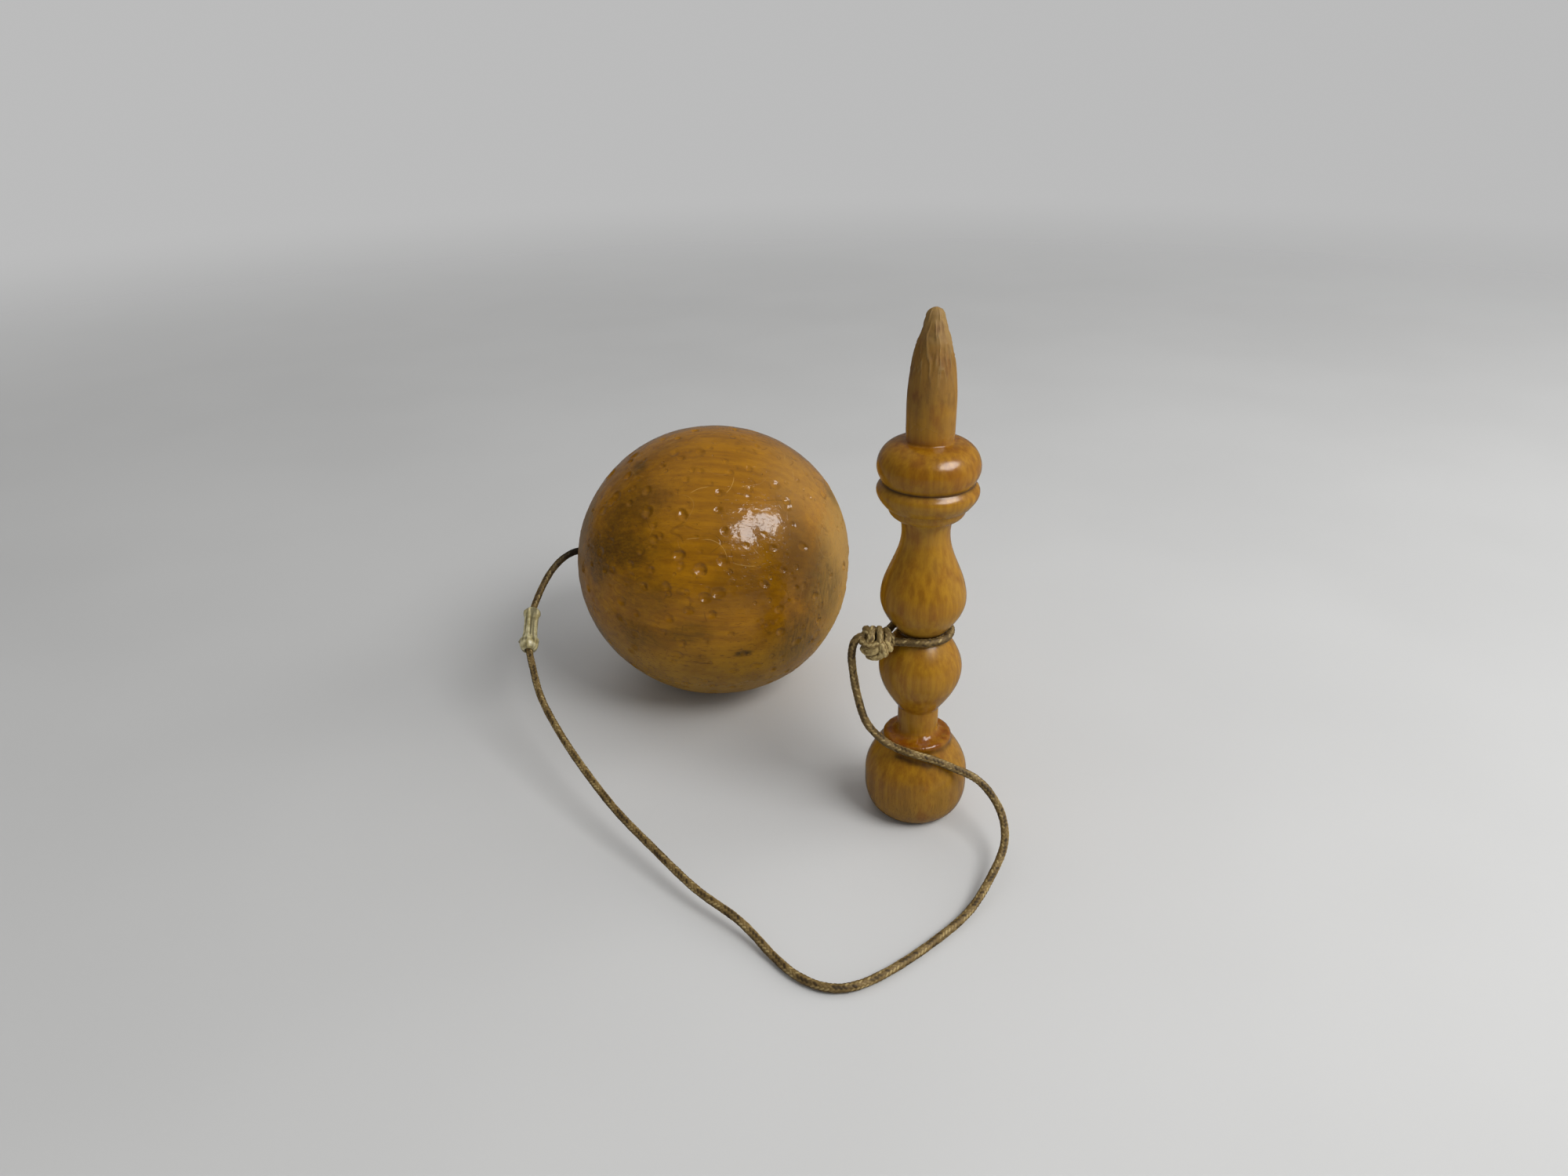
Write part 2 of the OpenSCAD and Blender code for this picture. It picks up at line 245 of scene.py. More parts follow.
def hairGroup():  # fine curved scratches, broken into short runs
    group, given, out = newGroup(
        "hairLines", {"Vector": (0.0, 0.0, 0.0), "Spacing": 0.01, "Width": 0.01}, ("Line",))
    scale = calc(group, "DIVIDE", 1.0, given["Spacing"])
    field = calc(group, "SUBTRACT", cloud(group, given["Vector"], scale, 0.0, 0.4, 0.1), 0.5)
    field = calc(group, "ABSOLUTE", field)
    line = ease(group, calc(group, "DIVIDE", field, given["Width"]), 0.4, 1.0, 1.0, 0.0)
    shifted = vectorCalc(group, "ADD", given["Vector"], (0.3, 0.7, 0.1))
    kept = ease(group, cloud(group, shifted, calc(group, "MULTIPLY", scale, 1.7), 2.0), 0.5, 0.6)
    feed(group, out["Line"], calc(group, "MULTIPLY", line, kept))
    return group


woodGrain = grainGroup()
hairLines = hairGroup()
brokenPatch = patchGroup()
varnishSkin = varnishGroup()
smallKnocks = knockGroup()
print("shader groups built")


def placeGrain(tree, vector, fleckLength, fleckWidth, amount, bandWidth):  # sizes in m
    return useGroup(tree, woodGrain, Vector=vector, Amount=amount, **{
        "Fleck Length": fleckLength, "Fleck Width": fleckWidth, "Band Width": bandWidth})


# Mesh tools

spanSteps = 24  # points between two of a route's own points
leastPoints = 8
noiseFalloff = 0.8  # from one octave to the next, which is finer by the step
noiseStep = 2.0


def newPiece(name, points, faces, material, body, stands=(), marks=None):
    mesh = bpy.data.meshes.new(name)
    mesh.from_pydata(points.tolist(), [], faces)
    mesh.polygons.foreach_set("use_smooth", np.ones(len(mesh.polygons), bool))
    for key, values in (marks or {}).items():
        layer = mesh.attributes.new(key, "FLOAT", "POINT")
        layer.data.foreach_set("value", np.asarray(values, np.float32))
    mesh.materials.append(material)
    mesh.validate()
    piece = bpy.data.objects.new(name, mesh)
    bpy.context.scene.collection.objects.link(piece)
    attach(piece, body)
    if stands:
        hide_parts(*stands)
    return piece


def gridFaces(rows, columns, first=0, closed=False):  # rings of points joined by four-sided faces
    across = np.arange(columns)
    following = (across + 1) % columns
    faces = []
    for row in range(rows if closed else rows - 1):
        a = first + row * columns
        b = first + (row + 1) % rows * columns
        faces.append(np.stack([a + across, a + following, b + following, b + across], 1))
    return np.concatenate(faces).tolist()


def fanFaces(tip, first, count, flipped=False):  # a ring of points closed onto one point
    pairs = [(first + k, first + (k + 1) % count) for k in range(count)]
    return [[tip, b, a] if flipped else [tip, a, b] for a, b in pairs]


def pointNoise(points, scale, shift, octaves):  # the same noise each run, about -1 to 1 at each point
    places = points * scale + shift
    return np.array([noise.fractal(Vector(p), noiseFalloff, noiseStep, octaves) for p in places])


def unit(v):
    v = np.asarray(v, float)
    return v / np.linalg.norm(v, axis=-1, keepdims=True)


def hump(values, middle, reach):  # a smooth bump: 1 at the middle, almost 0 at twice its reach
    return np.exp(-(((values - middle) / reach) ** 2))


def humps(values, bumps):  # bumps added up, each with its strength, middle and reach
    return sum(strength * hump(values, middle, reach) for strength, middle, reach in bumps)


def levelsAt(values, pairs):  # straight runs between pairs of place and level
    at, level = np.array(pairs, float).T
    return np.interp(values, at, level)


def turnFrom(turn, middle):  # angle from a middle, up to half a turn each way
    return np.angle(np.exp(1j * (turn - middle)))


def reachAlong(line):  # length of a line up to each of its points
    return np.concatenate([[0], np.cumsum(np.linalg.norm(np.diff(line, axis=0), axis=1))])


def evenPoints(line, step):  # points at equal distances along a line
    reach = reachAlong(line)
    at = np.linspace(0, reach[-1], max(leastPoints, int(reach[-1] / step)))
    return np.stack([np.interp(at, reach, column) for column in line.T], 1)


def smoothRoute(points, step):  # evenly spaced points on one smooth curve
    p = np.asarray(points, float)
    q = np.vstack([2 * p[0] - p[1], p, 2 * p[-1] - p[-2]])
    t = np.linspace(0, 1, spanSteps, endpoint=False)[:, None]
    runs = []
    for a, b, c, d in zip(q[:-3], q[1:-2], q[2:-1], q[3:]):
        runs.append(b + ((c - a) + ((2 * a - 5 * b + 4 * c - d) + (3 * b - a - 3 * c + d) * t) * t) * t / 2)
    return evenPoints(np.vstack(runs + [p[-1:]]), step)


def routeLength(points):
    return float(np.linalg.norm(np.diff(points, axis=0), axis=1).sum())


def carriedFrames(centre):  # two directions square to the route, carried along it without twist
    heading = unit(np.gradient(centre, axis=0))
    side = unit(np.cross(heading[0], (0.3, 0.8, 0.5)))  # any direction that no route starts along
    sides = []
    for h in heading:
        side = unit(side - (side @ h) * h)
        sides.append(side)
    sides = np.array(sides)
    return sides, np.cross(heading, sides)


# Places shared with the solids, in millimetres

knotTurn = math.radians(206)
neckHeight = 65.9
loopRadius = 8.92
knotOut = 15.92
knotDrop = 0.3


def beside(out, across, up):
    c, s = math.cos(knotTurn), math.sin(knotTurn)
    return np.array([out * c - across * s, out * s + across * c, up])


knotAt = beside(knotOut, 0, neckHeight - knotDrop)
ballAt = np.array([-68.2, 84.6, 50.8])
ballRadius = 50.8
boreTilt = math.radians(5.5)
boreOut = np.array([math.cos(boreTilt), 0, -math.sin(boreTilt)])  # out of the bore's mouth
boreAcross = np.array([0.0, 1.0, 0.0])
boreUp = np.cross(boreOut, boreAcross)
stopperOut = 6.07  # from the ball's middle towards the mouth
stopperAt = ballAt + stopperOut * boreOut
wrapFrom = np.array([-134.8, 51, 33])
wrapTo = np.array([-135.5, 65, 39.8])


# Cord: a round braid, with eight carriers each way

cordLook = {
    "diameter": 2.5,
    "carriers": 8,  # each way round
    "layLength": 10.4,  # mm of cord for one turn of a carrier
    "relief": 0.15,
    "crest": 1.02,  # the strands' outermost reach, as a share of the cord's radius
    "bulgeRound": 0.35,  # power that rounds a strand's run: lower is fuller
    "twist": [(0.06, 0.09, 1), (0.03, 0.31, 0)],  # waves: height, radians for each mm, times the seed
    "wobble": [(0.02, 0.83, 1), (0.015, 2.1, 2)],
    "sides": 40,
    "ringStep": 0.2,
    "pathStep": 4,  # rings from one point of a cord's declared path to the next
    "paleShare": 0.68,
    "darkShare": 0.30,
    "seamShare": 0.36,
    "strandSpread": 0.1,  # how much the strands differ in tone
    "stitchSpread": 0.28,
    "stitches": 61,  # before a strand's tones come round again
    "darkFrom": 14.0,  # mm along the lead, where the painted shadow near the ball starts
    "darkOver": 22.0,
    "longSeed": 11,
    "leadSeed": 23,
    "dark": "#3d2e16",
    "middle": "#776036",
    "pale": "#b7a16c",
    # the colour of the painted shadow on the lead near the ball
    "hole": "#1a1209",
}


def braidPattern(turn, along):  # each strand runs over two and under two
    carriers = cordLook["carriers"]
    p = carriers * (turn + along / cordLook["layLength"])
    q = carriers * (turn - along / cordLook["layLength"])
    i, j = np.floor(p), np.floor(q)
    over = (i + j) % 4 < 1.5
    across = np.where(over, p - i, q - j)
    run = np.where(over, (i + q) % 4, (p + j) % 4 - 2) / 2
    arch = np.sqrt(np.clip(1 - (2 * across - 1) ** 2, 0, 1))
    bulge = arch * np.clip(np.sin(np.pi * run), 0, 1) ** cordLook["bulgeRound"]
    strand = np.where(over, i % carriers, carriers + j % carriers)
    stitch = np.where(over, np.floor((i + q) / 4), np.floor((p + j) / 4))
    return bulge, strand.astype(int), stitch.astype(int)


def braidedTube(centre, radius, seed, startAt=0.0, shape=1.0, lift=0.0):  # points in mm, faces and marks
    look = cordLook
    sides, carriers, seam = look["sides"], look["carriers"], look["seamShare"]
    a, b = carriedFrames(centre)
    reach = startAt + reachAlong(centre)
    turn = np.arange(sides) / sides
    angle = 2 * np.pi * turn

    def sway(level, waves):
        return sum((high * np.sin(reach * step + times * seed) for high, step, times in waves), level)

    twist = sway(0, look["twist"])
    bulge, strand, stitch = braidPattern(turn[None, :] + twist[:, None], reach[:, None])
    wobble = sway(1, look["wobble"])
    r = radius * (shape * wobble)[:, None] * (look["crest"] - look["relief"] * (1 - bulge))
    ring = np.cos(angle)[None, :, None] * a[:, None] + np.sin(angle)[None, :, None] * b[:, None]
    points = (centre[:, None] + r[..., None] * ring).reshape(-1, 3)
    random = np.random.default_rng(seed)
    spread, chances = look["strandSpread"], look["stitchSpread"]
    shade = np.repeat([look["paleShare"], look["darkShare"]], carriers)
    shade = shade + random.uniform(-spread, spread, 2 * carriers)
    chance = random.uniform(-chances, chances, (2 * carriers, look["stitches"]))
    core = np.clip((bulge - 0.25) / 0.5, 0, 1)
    # lift makes the tone paler: painted light on the knot's strands
    tone = lift + seam + (shade[strand] + chance[strand, stitch % look["stitches"]] - seam) * core
    tip = len(points)
    points = np.vstack([points, centre[:1], centre[-1:]])
    faces = gridFaces(len(centre), sides)
    faces += fanFaces(tip, 0, sides, True) + fanFaces(tip + 1, tip - sides, sides)
    marks = {
        "bulge": np.append(bulge.ravel(), [0.5, 0.5]),
        "tone": np.append(tone.ravel(), [0.5, 0.5]),
        "reach": np.append(np.repeat(reach, sides), [reach[0], reach[-1]]),
    }
    return points, faces, marks


def joinTubes(tubes):
    points, faces, marks, first = [], [], {}, 0
    for p, f, m in tubes:
        points.append(p)
        faces += [[first + i for i in face] for face in f]
        for key, values in m.items():
            marks.setdefault(key, []).append(values)
        first += len(p)
    return np.vstack(points), faces, {key: np.concatenate(v) for key, v in marks.items()}


def cordMaterial(name, look, shadedNearBall=False):  # near the ball the cord is painted dark, a painted shadow
    material, tree, shader = newMaterial(name)
    bulge = vertexValue(tree, "bulge")
    tone = vertexValue(tree, "tone")
    place = addNode(tree, "TexCoord").outputs["Object"]
    grime = ease(tree, cloud(tree, place, 90.0, 4.0, 0.65), 0.35, 0.7)
    fibre = cloud(tree, place, 5200.0, 2.0, 0.6)
    lit = calc(tree, "ADD", tone, about(tree, fibre, 0.5, 0.7))
    lit = calc(tree, "SUBTRACT", lit, calc(tree, "MULTIPLY", grime, 0.2))
    colour = blendColour(tree, ease(tree, lit, -0.05, 0.45), tint(look["dark"]), tint(look["middle"]))
    colour = blendColour(tree, ease(tree, lit, 0.45, 0.95), colour, tint(look["pale"]))
    # painted shade in the gaps between the strands
    colour = blendColour(tree, ease(tree, bulge, 0.05, 0.35, 0.8, 0.0), colour, tint(look["dark"]))
    if shadedNearBall:
        start = look["darkFrom"]
        deep = ease(tree, vertexValue(tree, "reach"), start, start + look["darkOver"], 0.0, 0.9)
        # painted shadow: the lead turns dark as it nears the ball
        colour = blendColour(tree, deep, colour, tint(look["hole"]))
    finishSurface(tree, shader, colour, 0.55, fibre, 0.5, 0.00015, Specular_IOR_Level=0.3)
    return material


cordFinish = cordMaterial("waxedBraid", cordLook)
leadFinish = cordMaterial("waxedBraidLead", cordLook, shadedNearBall=True)


# Tape that binds the two cords

tapeLook = {  # places along the tape and sizes in mm, turns in radians
    "profile": [  # place along and radius
        (-1.5, 1.7), (-1.1, 2.5), (-0.2, 3.0), (1.4, 3.35), (2.9, 3.25), (3.9, 2.7), (6.0, 2.45),
        (9.5, 2.4), (12.5, 2.5), (14.5, 2.7), (15.8, 2.65), (16.7, 2.1), (17.05, 1.6),
    ],
    "sides": 96,
    "rowStep": 0.22,
    "inside": 1.5,
    "leastRadius": 1.55,
    "wrinkle": 0.17,
    "folds": [(1.0, 5, 0.10, 0.6), (0.7, 9, -0.16, 0), (0.5, 14, 0.3, 2)],  # height, number, slant, start
    "pucker": (2.1, 1.3),  # radians for each mm, and how far the rings sway
    "foldShare": 0.55,
    "puckerShare": 0.6,
    "wrinkled": [(-1.5, 0.2), (0.5, 1.0), (15.0, 1.0), (17.0, 0.3)],  # place along and share
    "puckered": [(-1.5, 0.2), (0, 0.9), (3, 0.9), (5, 0.1)],
    "gapRun": [(2, 0), (5, 1), (13, 1), (15, 0)],  # a long hollow down the front
    "gapWidth": 0.16,
    "gapDeep": 0.55,
    "knobs": (15.2, 1.3),  # place along and reach
    "knobHigh": 0.45,
    "flap": (3.2, 0.9),
    "flapTurn": 3.0,  # towards the left
    "flapWidth": 0.28,
    "flapHigh": 1.1,
    "foldTone": 0.16,  # painted light and shade: how much paler folds, rings and knobs are, and how much darker the hollow
    "ringTone": 0.12,
    "knobTone": 0.3,
    "gapTone": 0.6,
    # painted shade on the rims that meet the cords
    "rimTone": 0.2,
    "pale": "#ddd3a6",
    "dull": "#a79a6a",
    # the colour of the painted shade in creases and the hollow
    "paintedShade": "#5f5637",
}


def tapeMaterial(look):
    material, tree, shader = newMaterial("agedTape")
    place = addNode(tree, "TexCoord").outputs["Object"]
    foldShading = vertexValue(tree, "foldShading")
    mottle = cloud(tree, place, 420.0, 4.0, 0.6)
    colour = blendColour(tree, ease(tree, mottle, 0.35, 0.65), tint(look["dull"]), tint(look["pale"]))
    # painted shade in the creases, the hollow and the rims
    colour = blendColour(tree, ease(tree, foldShading, 0.15, 0.6, 0.85, 0.0), colour, tint(look["paintedShade"]))
    rough = ease(tree, mottle, 0.3, 0.7, 0.28, 0.5)
    finishSurface(
        tree, shader, colour, rough, cloud(tree, place, 1400.0), 0.35, 0.0002,
        Coat_Weight=0.5, Coat_Roughness=0.12,
        Subsurface_Weight=0.25, Subsurface_Radius=(0.002, 0.0017, 0.001), Subsurface_Scale=1.0)
    return material


def makeTape(look):
    axis = unit(wrapTo - wrapFrom)
    right = unit(np.array([1.0, 0, 0]) - axis[0] * axis)
    front = np.cross(axis, right)
    rows = np.arange(look["profile"][0][0], look["profile"][-1][0], look["rowStep"])
    sides = look["sides"]
    along, turn = np.meshgrid(rows, 2 * np.pi * np.arange(sides) / sides, indexing="ij")
    toCamera = np.array(cameraLook["at"]) - wrapFrom
    facing = math.atan2(toCamera @ front, toCamera @ right)
    folds = sum(high * np.cos(n * turn + slant * along + start) for high, n, slant, start in look["folds"])
    step, swing = look["pucker"]
    rings = np.cos(step * along + swing * np.sin(turn)) * levelsAt(along, look["puckered"])
    gap = hump(turnFrom(turn, facing), 0, look["gapWidth"]) * levelsAt(along, look["gapRun"])
    knobs = hump(along, *look["knobs"]) * np.cos(2 * (turn - facing) + np.pi)
    flap = hump(turnFrom(turn, look["flapTurn"]), 0, look["flapWidth"]) * hump(along, *look["flap"])
    creased = look["foldShare"] * folds + look["puckerShare"] * rings
    wrinkles = levelsAt(along, look["wrinkled"]) * look["wrinkle"] * creased
    radius = levelsAt(along, look["profile"]) + wrinkles - look["gapDeep"] * gap
    radius = np.maximum(radius + look["knobHigh"] * knobs + look["flapHigh"] * flap, look["leastRadius"])
    spine = wrapFrom + along[..., None] * axis
    ring = np.cos(turn)[..., None] * right + np.sin(turn)[..., None] * front
    outer = (spine + radius[..., None] * ring).reshape(-1, 3)
    inner = (spine + look["inside"] * ring)[[-1, 0]].reshape(-1, 3)  # rims that meet the cords
    points = np.vstack([outer, inner]) * mm
    # painted light and shade: folds, rings and knobs paler, the hollow and the rims darker
    foldShading = 0.5 + look["foldTone"] * folds + look["ringTone"] * rings
    foldShading = foldShading - look["gapTone"] * gap + look["knobTone"] * knobs
    marks = {"foldShading": np.append(foldShading.ravel(), np.full(2 * sides, look["rimTone"]))}
    faces = gridFaces(len(rows) + 2, sides, closed=True)
    finish = tapeMaterial(look)
    return newPiece("spliceTape", points, faces, finish, "tether", ("splice_wrap",), marks)


spliceTape = makeTape(tapeLook)


# Free stretches of the cord, on the solids' own routes

longStart = knotAt + np.array([-3, 0, 1.9])  # inside the knot
longPoints = [
    (-19.6, -7, 67.3), (-21.1, -7, 65.7), (-21.8, -7, 62.8), (-21.8, -7, 58.5), (-20.3, -8, 48.5),
    (-17.4, -9, 38.5), (-12.4, -9.2, 31.8), (-8, -10.2, 29.1), (-2.4, -12.5, 28), (4.1, -13, 25.9),
    (10.6, -12.8, 22.5), (17, -13, 19), (21.5, -16, 15.5), (24.5, -22.5, 11.5), (24, -31, 7.8),
    (19, -41, 4.8), (10, -54, 2), (-2, -65.5, 1.4), (-15, -75.7, 1.4), (-25, -81, 1.4),
    (-33, -81.2, 1.4), (-40.5, -77, 1.4), (-47, -69.8, 1.6), (-52.5, -63, 3), (-58, -57.5, 4.6),
    (-70, -46.5, 5.7), (-83.2, -31.5, 7.9), (-97.3, -15, 11), (-110.2, 3, 14.9), (-120, 18, 18.9),
    (-128, 32, 23.7), (-132.5, 43.5, 29.5),
]
leadPoints = [
    (-134.3, 69.5, 42.9), (-132.2, 74.3, 46.8), (-129.6, 78.3, 50.3), (-126.2, 81.8, 53.2), (-122.4, 84, 55),
]
leadIn = [ballAt - (ballRadius - depth) * boreOut for depth in (0, 4)]  # at the skin, and 4 mm inside
longInTape = 0.35  # shares of the tape's length
leadInTape = 0.3


def makeFreeCord(name, centre, seed, material, stands):
    points, faces, marks = braidedTube(centre, cordLook["diameter"] / 2, seed)
    return newPiece(name, points * mm, faces, material, "tether", stands, marks)


longEnd = wrapFrom + longInTape * (wrapTo - wrapFrom)
longCentre = smoothRoute([longStart, *longPoints, wrapFrom, longEnd], cordLook["ringStep"])
longCord = makeFreeCord("longCord", longCentre, cordLook["longSeed"], cordFinish, ("long_cord",))

leadFrom = wrapTo - leadInTape * (wrapTo - wrapFrom)
leadOuter = smoothRoute([leadFrom, wrapTo, *leadPoints, *leadIn], cordLook["ringStep"])
leadInner = smoothRoute([leadOuter[-1], (leadOuter[-1] + stopperAt) / 2, stopperAt], cordLook["ringStep"])
leadCentre = np.vstack([leadOuter, leadInner[1:]])
ballLead = makeFreeCord("ballLead", leadCentre, cordLook["leadSeed"], leadFinish, ("ball_lead",))
print("free cords laid", round(routeLength(longCentre)), round(routeLength(leadCentre)))


# Loop round the neck, the knot that ties it, and the stopper knot inside the ball

loopLook = {
    "turns": (50, 310),  # degrees from the knot
    "points": 23,
    "endOut": 12.92,  # where the ends go into the knot, in mm
    "endAside": 1.75,
    "endDrop": 0.15,
    "seed": 31,
}


def makeNeckLoop(look):
    turns = np.radians(np.linspace(*look["turns"], look["points"]))
    ring = [beside(loopRadius * math.cos(t), loopRadius * math.sin(t), neckHeight) for t in turns]
    level = neckHeight - look["endDrop"]
    ends = [beside(look["endOut"], side * look["endAside"], level) for side in (1, -1)]
    centre = smoothRoute([ends[0], *ring, ends[1]], cordLook["ringStep"])
    points, faces, marks = braidedTube(centre, cordLook["diameter"] / 2, look["seed"])
    newPiece("neckLoop", points * mm, faces, cordFinish, "tether", ("neck_loop",), marks)


knotLook = {
    "right": (0.996, -0.085, 0.0),  # the knot's own directions, seen from the front
    "out": (-0.08, -0.865, 0.495),
    "core": 3.4,
    "coreRings": 60,
    "coreEnd": 0.999,  # share of the core's radius at which its rounded ends are cut off
    "reach": (4.7, 4.8, 3.4),  # half sizes of the egg that the strands lie on
    "leastRound": 0.02,  # share of the radius at which a strand's rounded end is cut off
    "seed": 40,
    "shift": 3.7,  # mm along the braid from one strand to the next
    # painted light: the knot's strands are painted paler than the rest of the cord
    "paler": 0.34,
    "palerBelow": 0.05,  # more for each mm further down
    "shadow": 0.55,  # how much darker the cord is deep between the strands
    "shadowFrom": 1.26,  # as shares of the egg
    "shadowOver": 0.2,
    "front": [  # radius and lift of each strand, then its points to the right and up, all in mm
        (1.05, 0.95, [(0.3, 4.5), (0.7, 3.6), (0.9, 2.4), (0.9, 1.2), (0.8, 0.1), (0.5, -0.7)]),
        (1.25, 0.35, [(-0.6, 4.4), (-1.4, 3.5), (-1.8, 2.2), (-1.9, 0.9), (-2.4, -0.3), (-3.4, -1.0)]),
        (1.25, 0.1, [(1.9, 4.2), (2.8, 3.2), (3.2, 1.9), (3.1, 0.6), (2.6, -0.6)]),
        (1.2, 0.5, [(-4.5, 0.9), (-3.9, -0.3), (-2.7, -1.1), (-1.3, -1.2), (0.1, -0.7), (1.3, 0.3)]),
        (1.25, 0.2, [(-4.4, -1.2), (-3.9, -2.3), (-2.8, -3.1), (-1.5, -3.1), (-0.4, -2.3), (0.3, -1.2)]),
        (1.25, 0.0, [(-3.0, -3.4), (-1.9, -4.3), (-0.5, -4.5), (0.8, -4.2), (1.5, -3.2), (1.3, -1.8)]),
        (1.25, 0.55, [(0.9, 0.2), (1.5, -1.1), (2.0, -2.4), (2.3, -3.6), (2.0, -4.2)]),
        (1.25, 0.25, [(2.0, 0.6), (3.1, -0.5), (3.7, -1.7), (3.7, -2.8)]),
        (1.2, -0.3, [(3.5, 2.7), (4.3, 1.4), (4.6, 0.0), (4.4, -1.4)]),
        (1.3, 0.3, [(-1.6, 1.6), (-2.5, 2.8), (-3.3, 3.7), (-3.8, 4.2), (-4.1, 4.6)]),
        (1.2, -0.1, [(-2.5, 3.6), (-3.4, 2.6), (-4.1, 1.4), (-4.4, 0.0), (-4.3, -1.2)]),
    ],
    "behind": [
        (1.25, 0.2, [(4.4, 1.4), (2.4, 2.4), (0.0, 2.8), (-2.4, 2.2), (-4.4, 1.0)]),
        (1.25, 0.2, [(4.4, -1.2), (2.0, -2.3), (-0.6, -2.8), (-3.0, -2.2), (-4.4, -1.2)]),
        (1.25, 0.5, [(0.3, 4.5), (1.0, 2.4), (0.8, 0.0), (-0.2, -2.4), (-0.5, -4.5)]),
        (1.25, 0.4, [(-0.6, 4.4), (-1.8, 2.4), (-2.2, 0.2), (-2.4, -2.0), (-3.0, -3.4)]),
        (1.25, 0.3, [(1.9, 4.2), (2.9, 2.0), (3.0, 0.0), (2.6, -2.0), (2.0, -4.2)]),
    ],
}


def makeNeckKnot(look):
    right = unit(look["right"])
    out = unit(np.array(look["out"]) - (np.array(look["out"]) @ right) * right)
    axes = np.array([right, np.cross(out, right), out])
    wide, high, deep = look["reach"]
    across = np.linspace(-look["coreEnd"], look["coreEnd"], look["coreRings"])
    heart = knotAt + look["core"] * across[:, None] * right
    tubes = [braidedTube(heart, look["core"], look["seed"], 0.0, np.sqrt(1 - across ** 2))]
    for side, strands in ((1, look["front"]), (-1, look["behind"])):
        for radius, lift, path in strands:
            x, y = np.array(path).T
            depth = deep * np.sqrt(np.clip(1 - (x / wide) ** 2 - (y / high) ** 2, 0, 1))
            route = knotAt + np.stack([x, y, side * (depth + lift)], 1) @ axes
            centre = smoothRoute(route, cordLook["ringStep"])
            n = len(tubes)
            along = np.linspace(0, 1, len(centre))
            toEnd = np.minimum(along, 1 - along) * routeLength(centre) / radius
            rounded = np.sqrt(1 - (1 - np.clip(toEnd, look["leastRound"], 1)) ** 2)
            # painted light on the knot's strands, more further down
            paler = look["paler"] - look["palerBelow"] * y.mean()
            tubes.append(braidedTube(centre, radius, look["seed"] + n, look["shift"] * n, rounded, paler))
    points, faces, marks = joinTubes(tubes)
    outward = np.linalg.norm((points - knotAt) @ axes.T / np.array(look["reach"]), axis=1)
    inward = np.clip((look["shadowFrom"] - outward) / look["shadowOver"], 0, 1)
    marks["tone"] = marks["tone"] - look["shadow"] * inward
    newPiece("neckKnot", points * mm, faces, cordFinish, "tether", ("neck_knot",), marks)


stopperLook = {
    "points": 40,
    "size": 0.7,  # mm for each unit of the knot's formula
    "radius": 1.15,
    "seed": 61,
}


def makeStopperKnot(look):  # an overhand knot, drawn as a closed trefoil
    t = np.linspace(0, 2 * np.pi, look["points"])
    swing = np.stack([-np.sin(3 * t), np.sin(t) + 2 * np.sin(2 * t), np.cos(t) - 2 * np.cos(2 * t)], 1)
    route = stopperAt + swing * look["size"] @ np.array([boreOut, boreAcross, boreUp])
    centre = smoothRoute(route, cordLook["ringStep"])
    points, faces, marks = braidedTube(centre, look["radius"], look["seed"])
    newPiece("stopperKnot", points * mm, faces, cordFinish, "tether", ("stopper_knot",), marks)


makeNeckLoop(loopLook)
makeNeckKnot(knotLook)
makeStopperKnot(stopperLook)
print("loop and knots tied")


# Ball

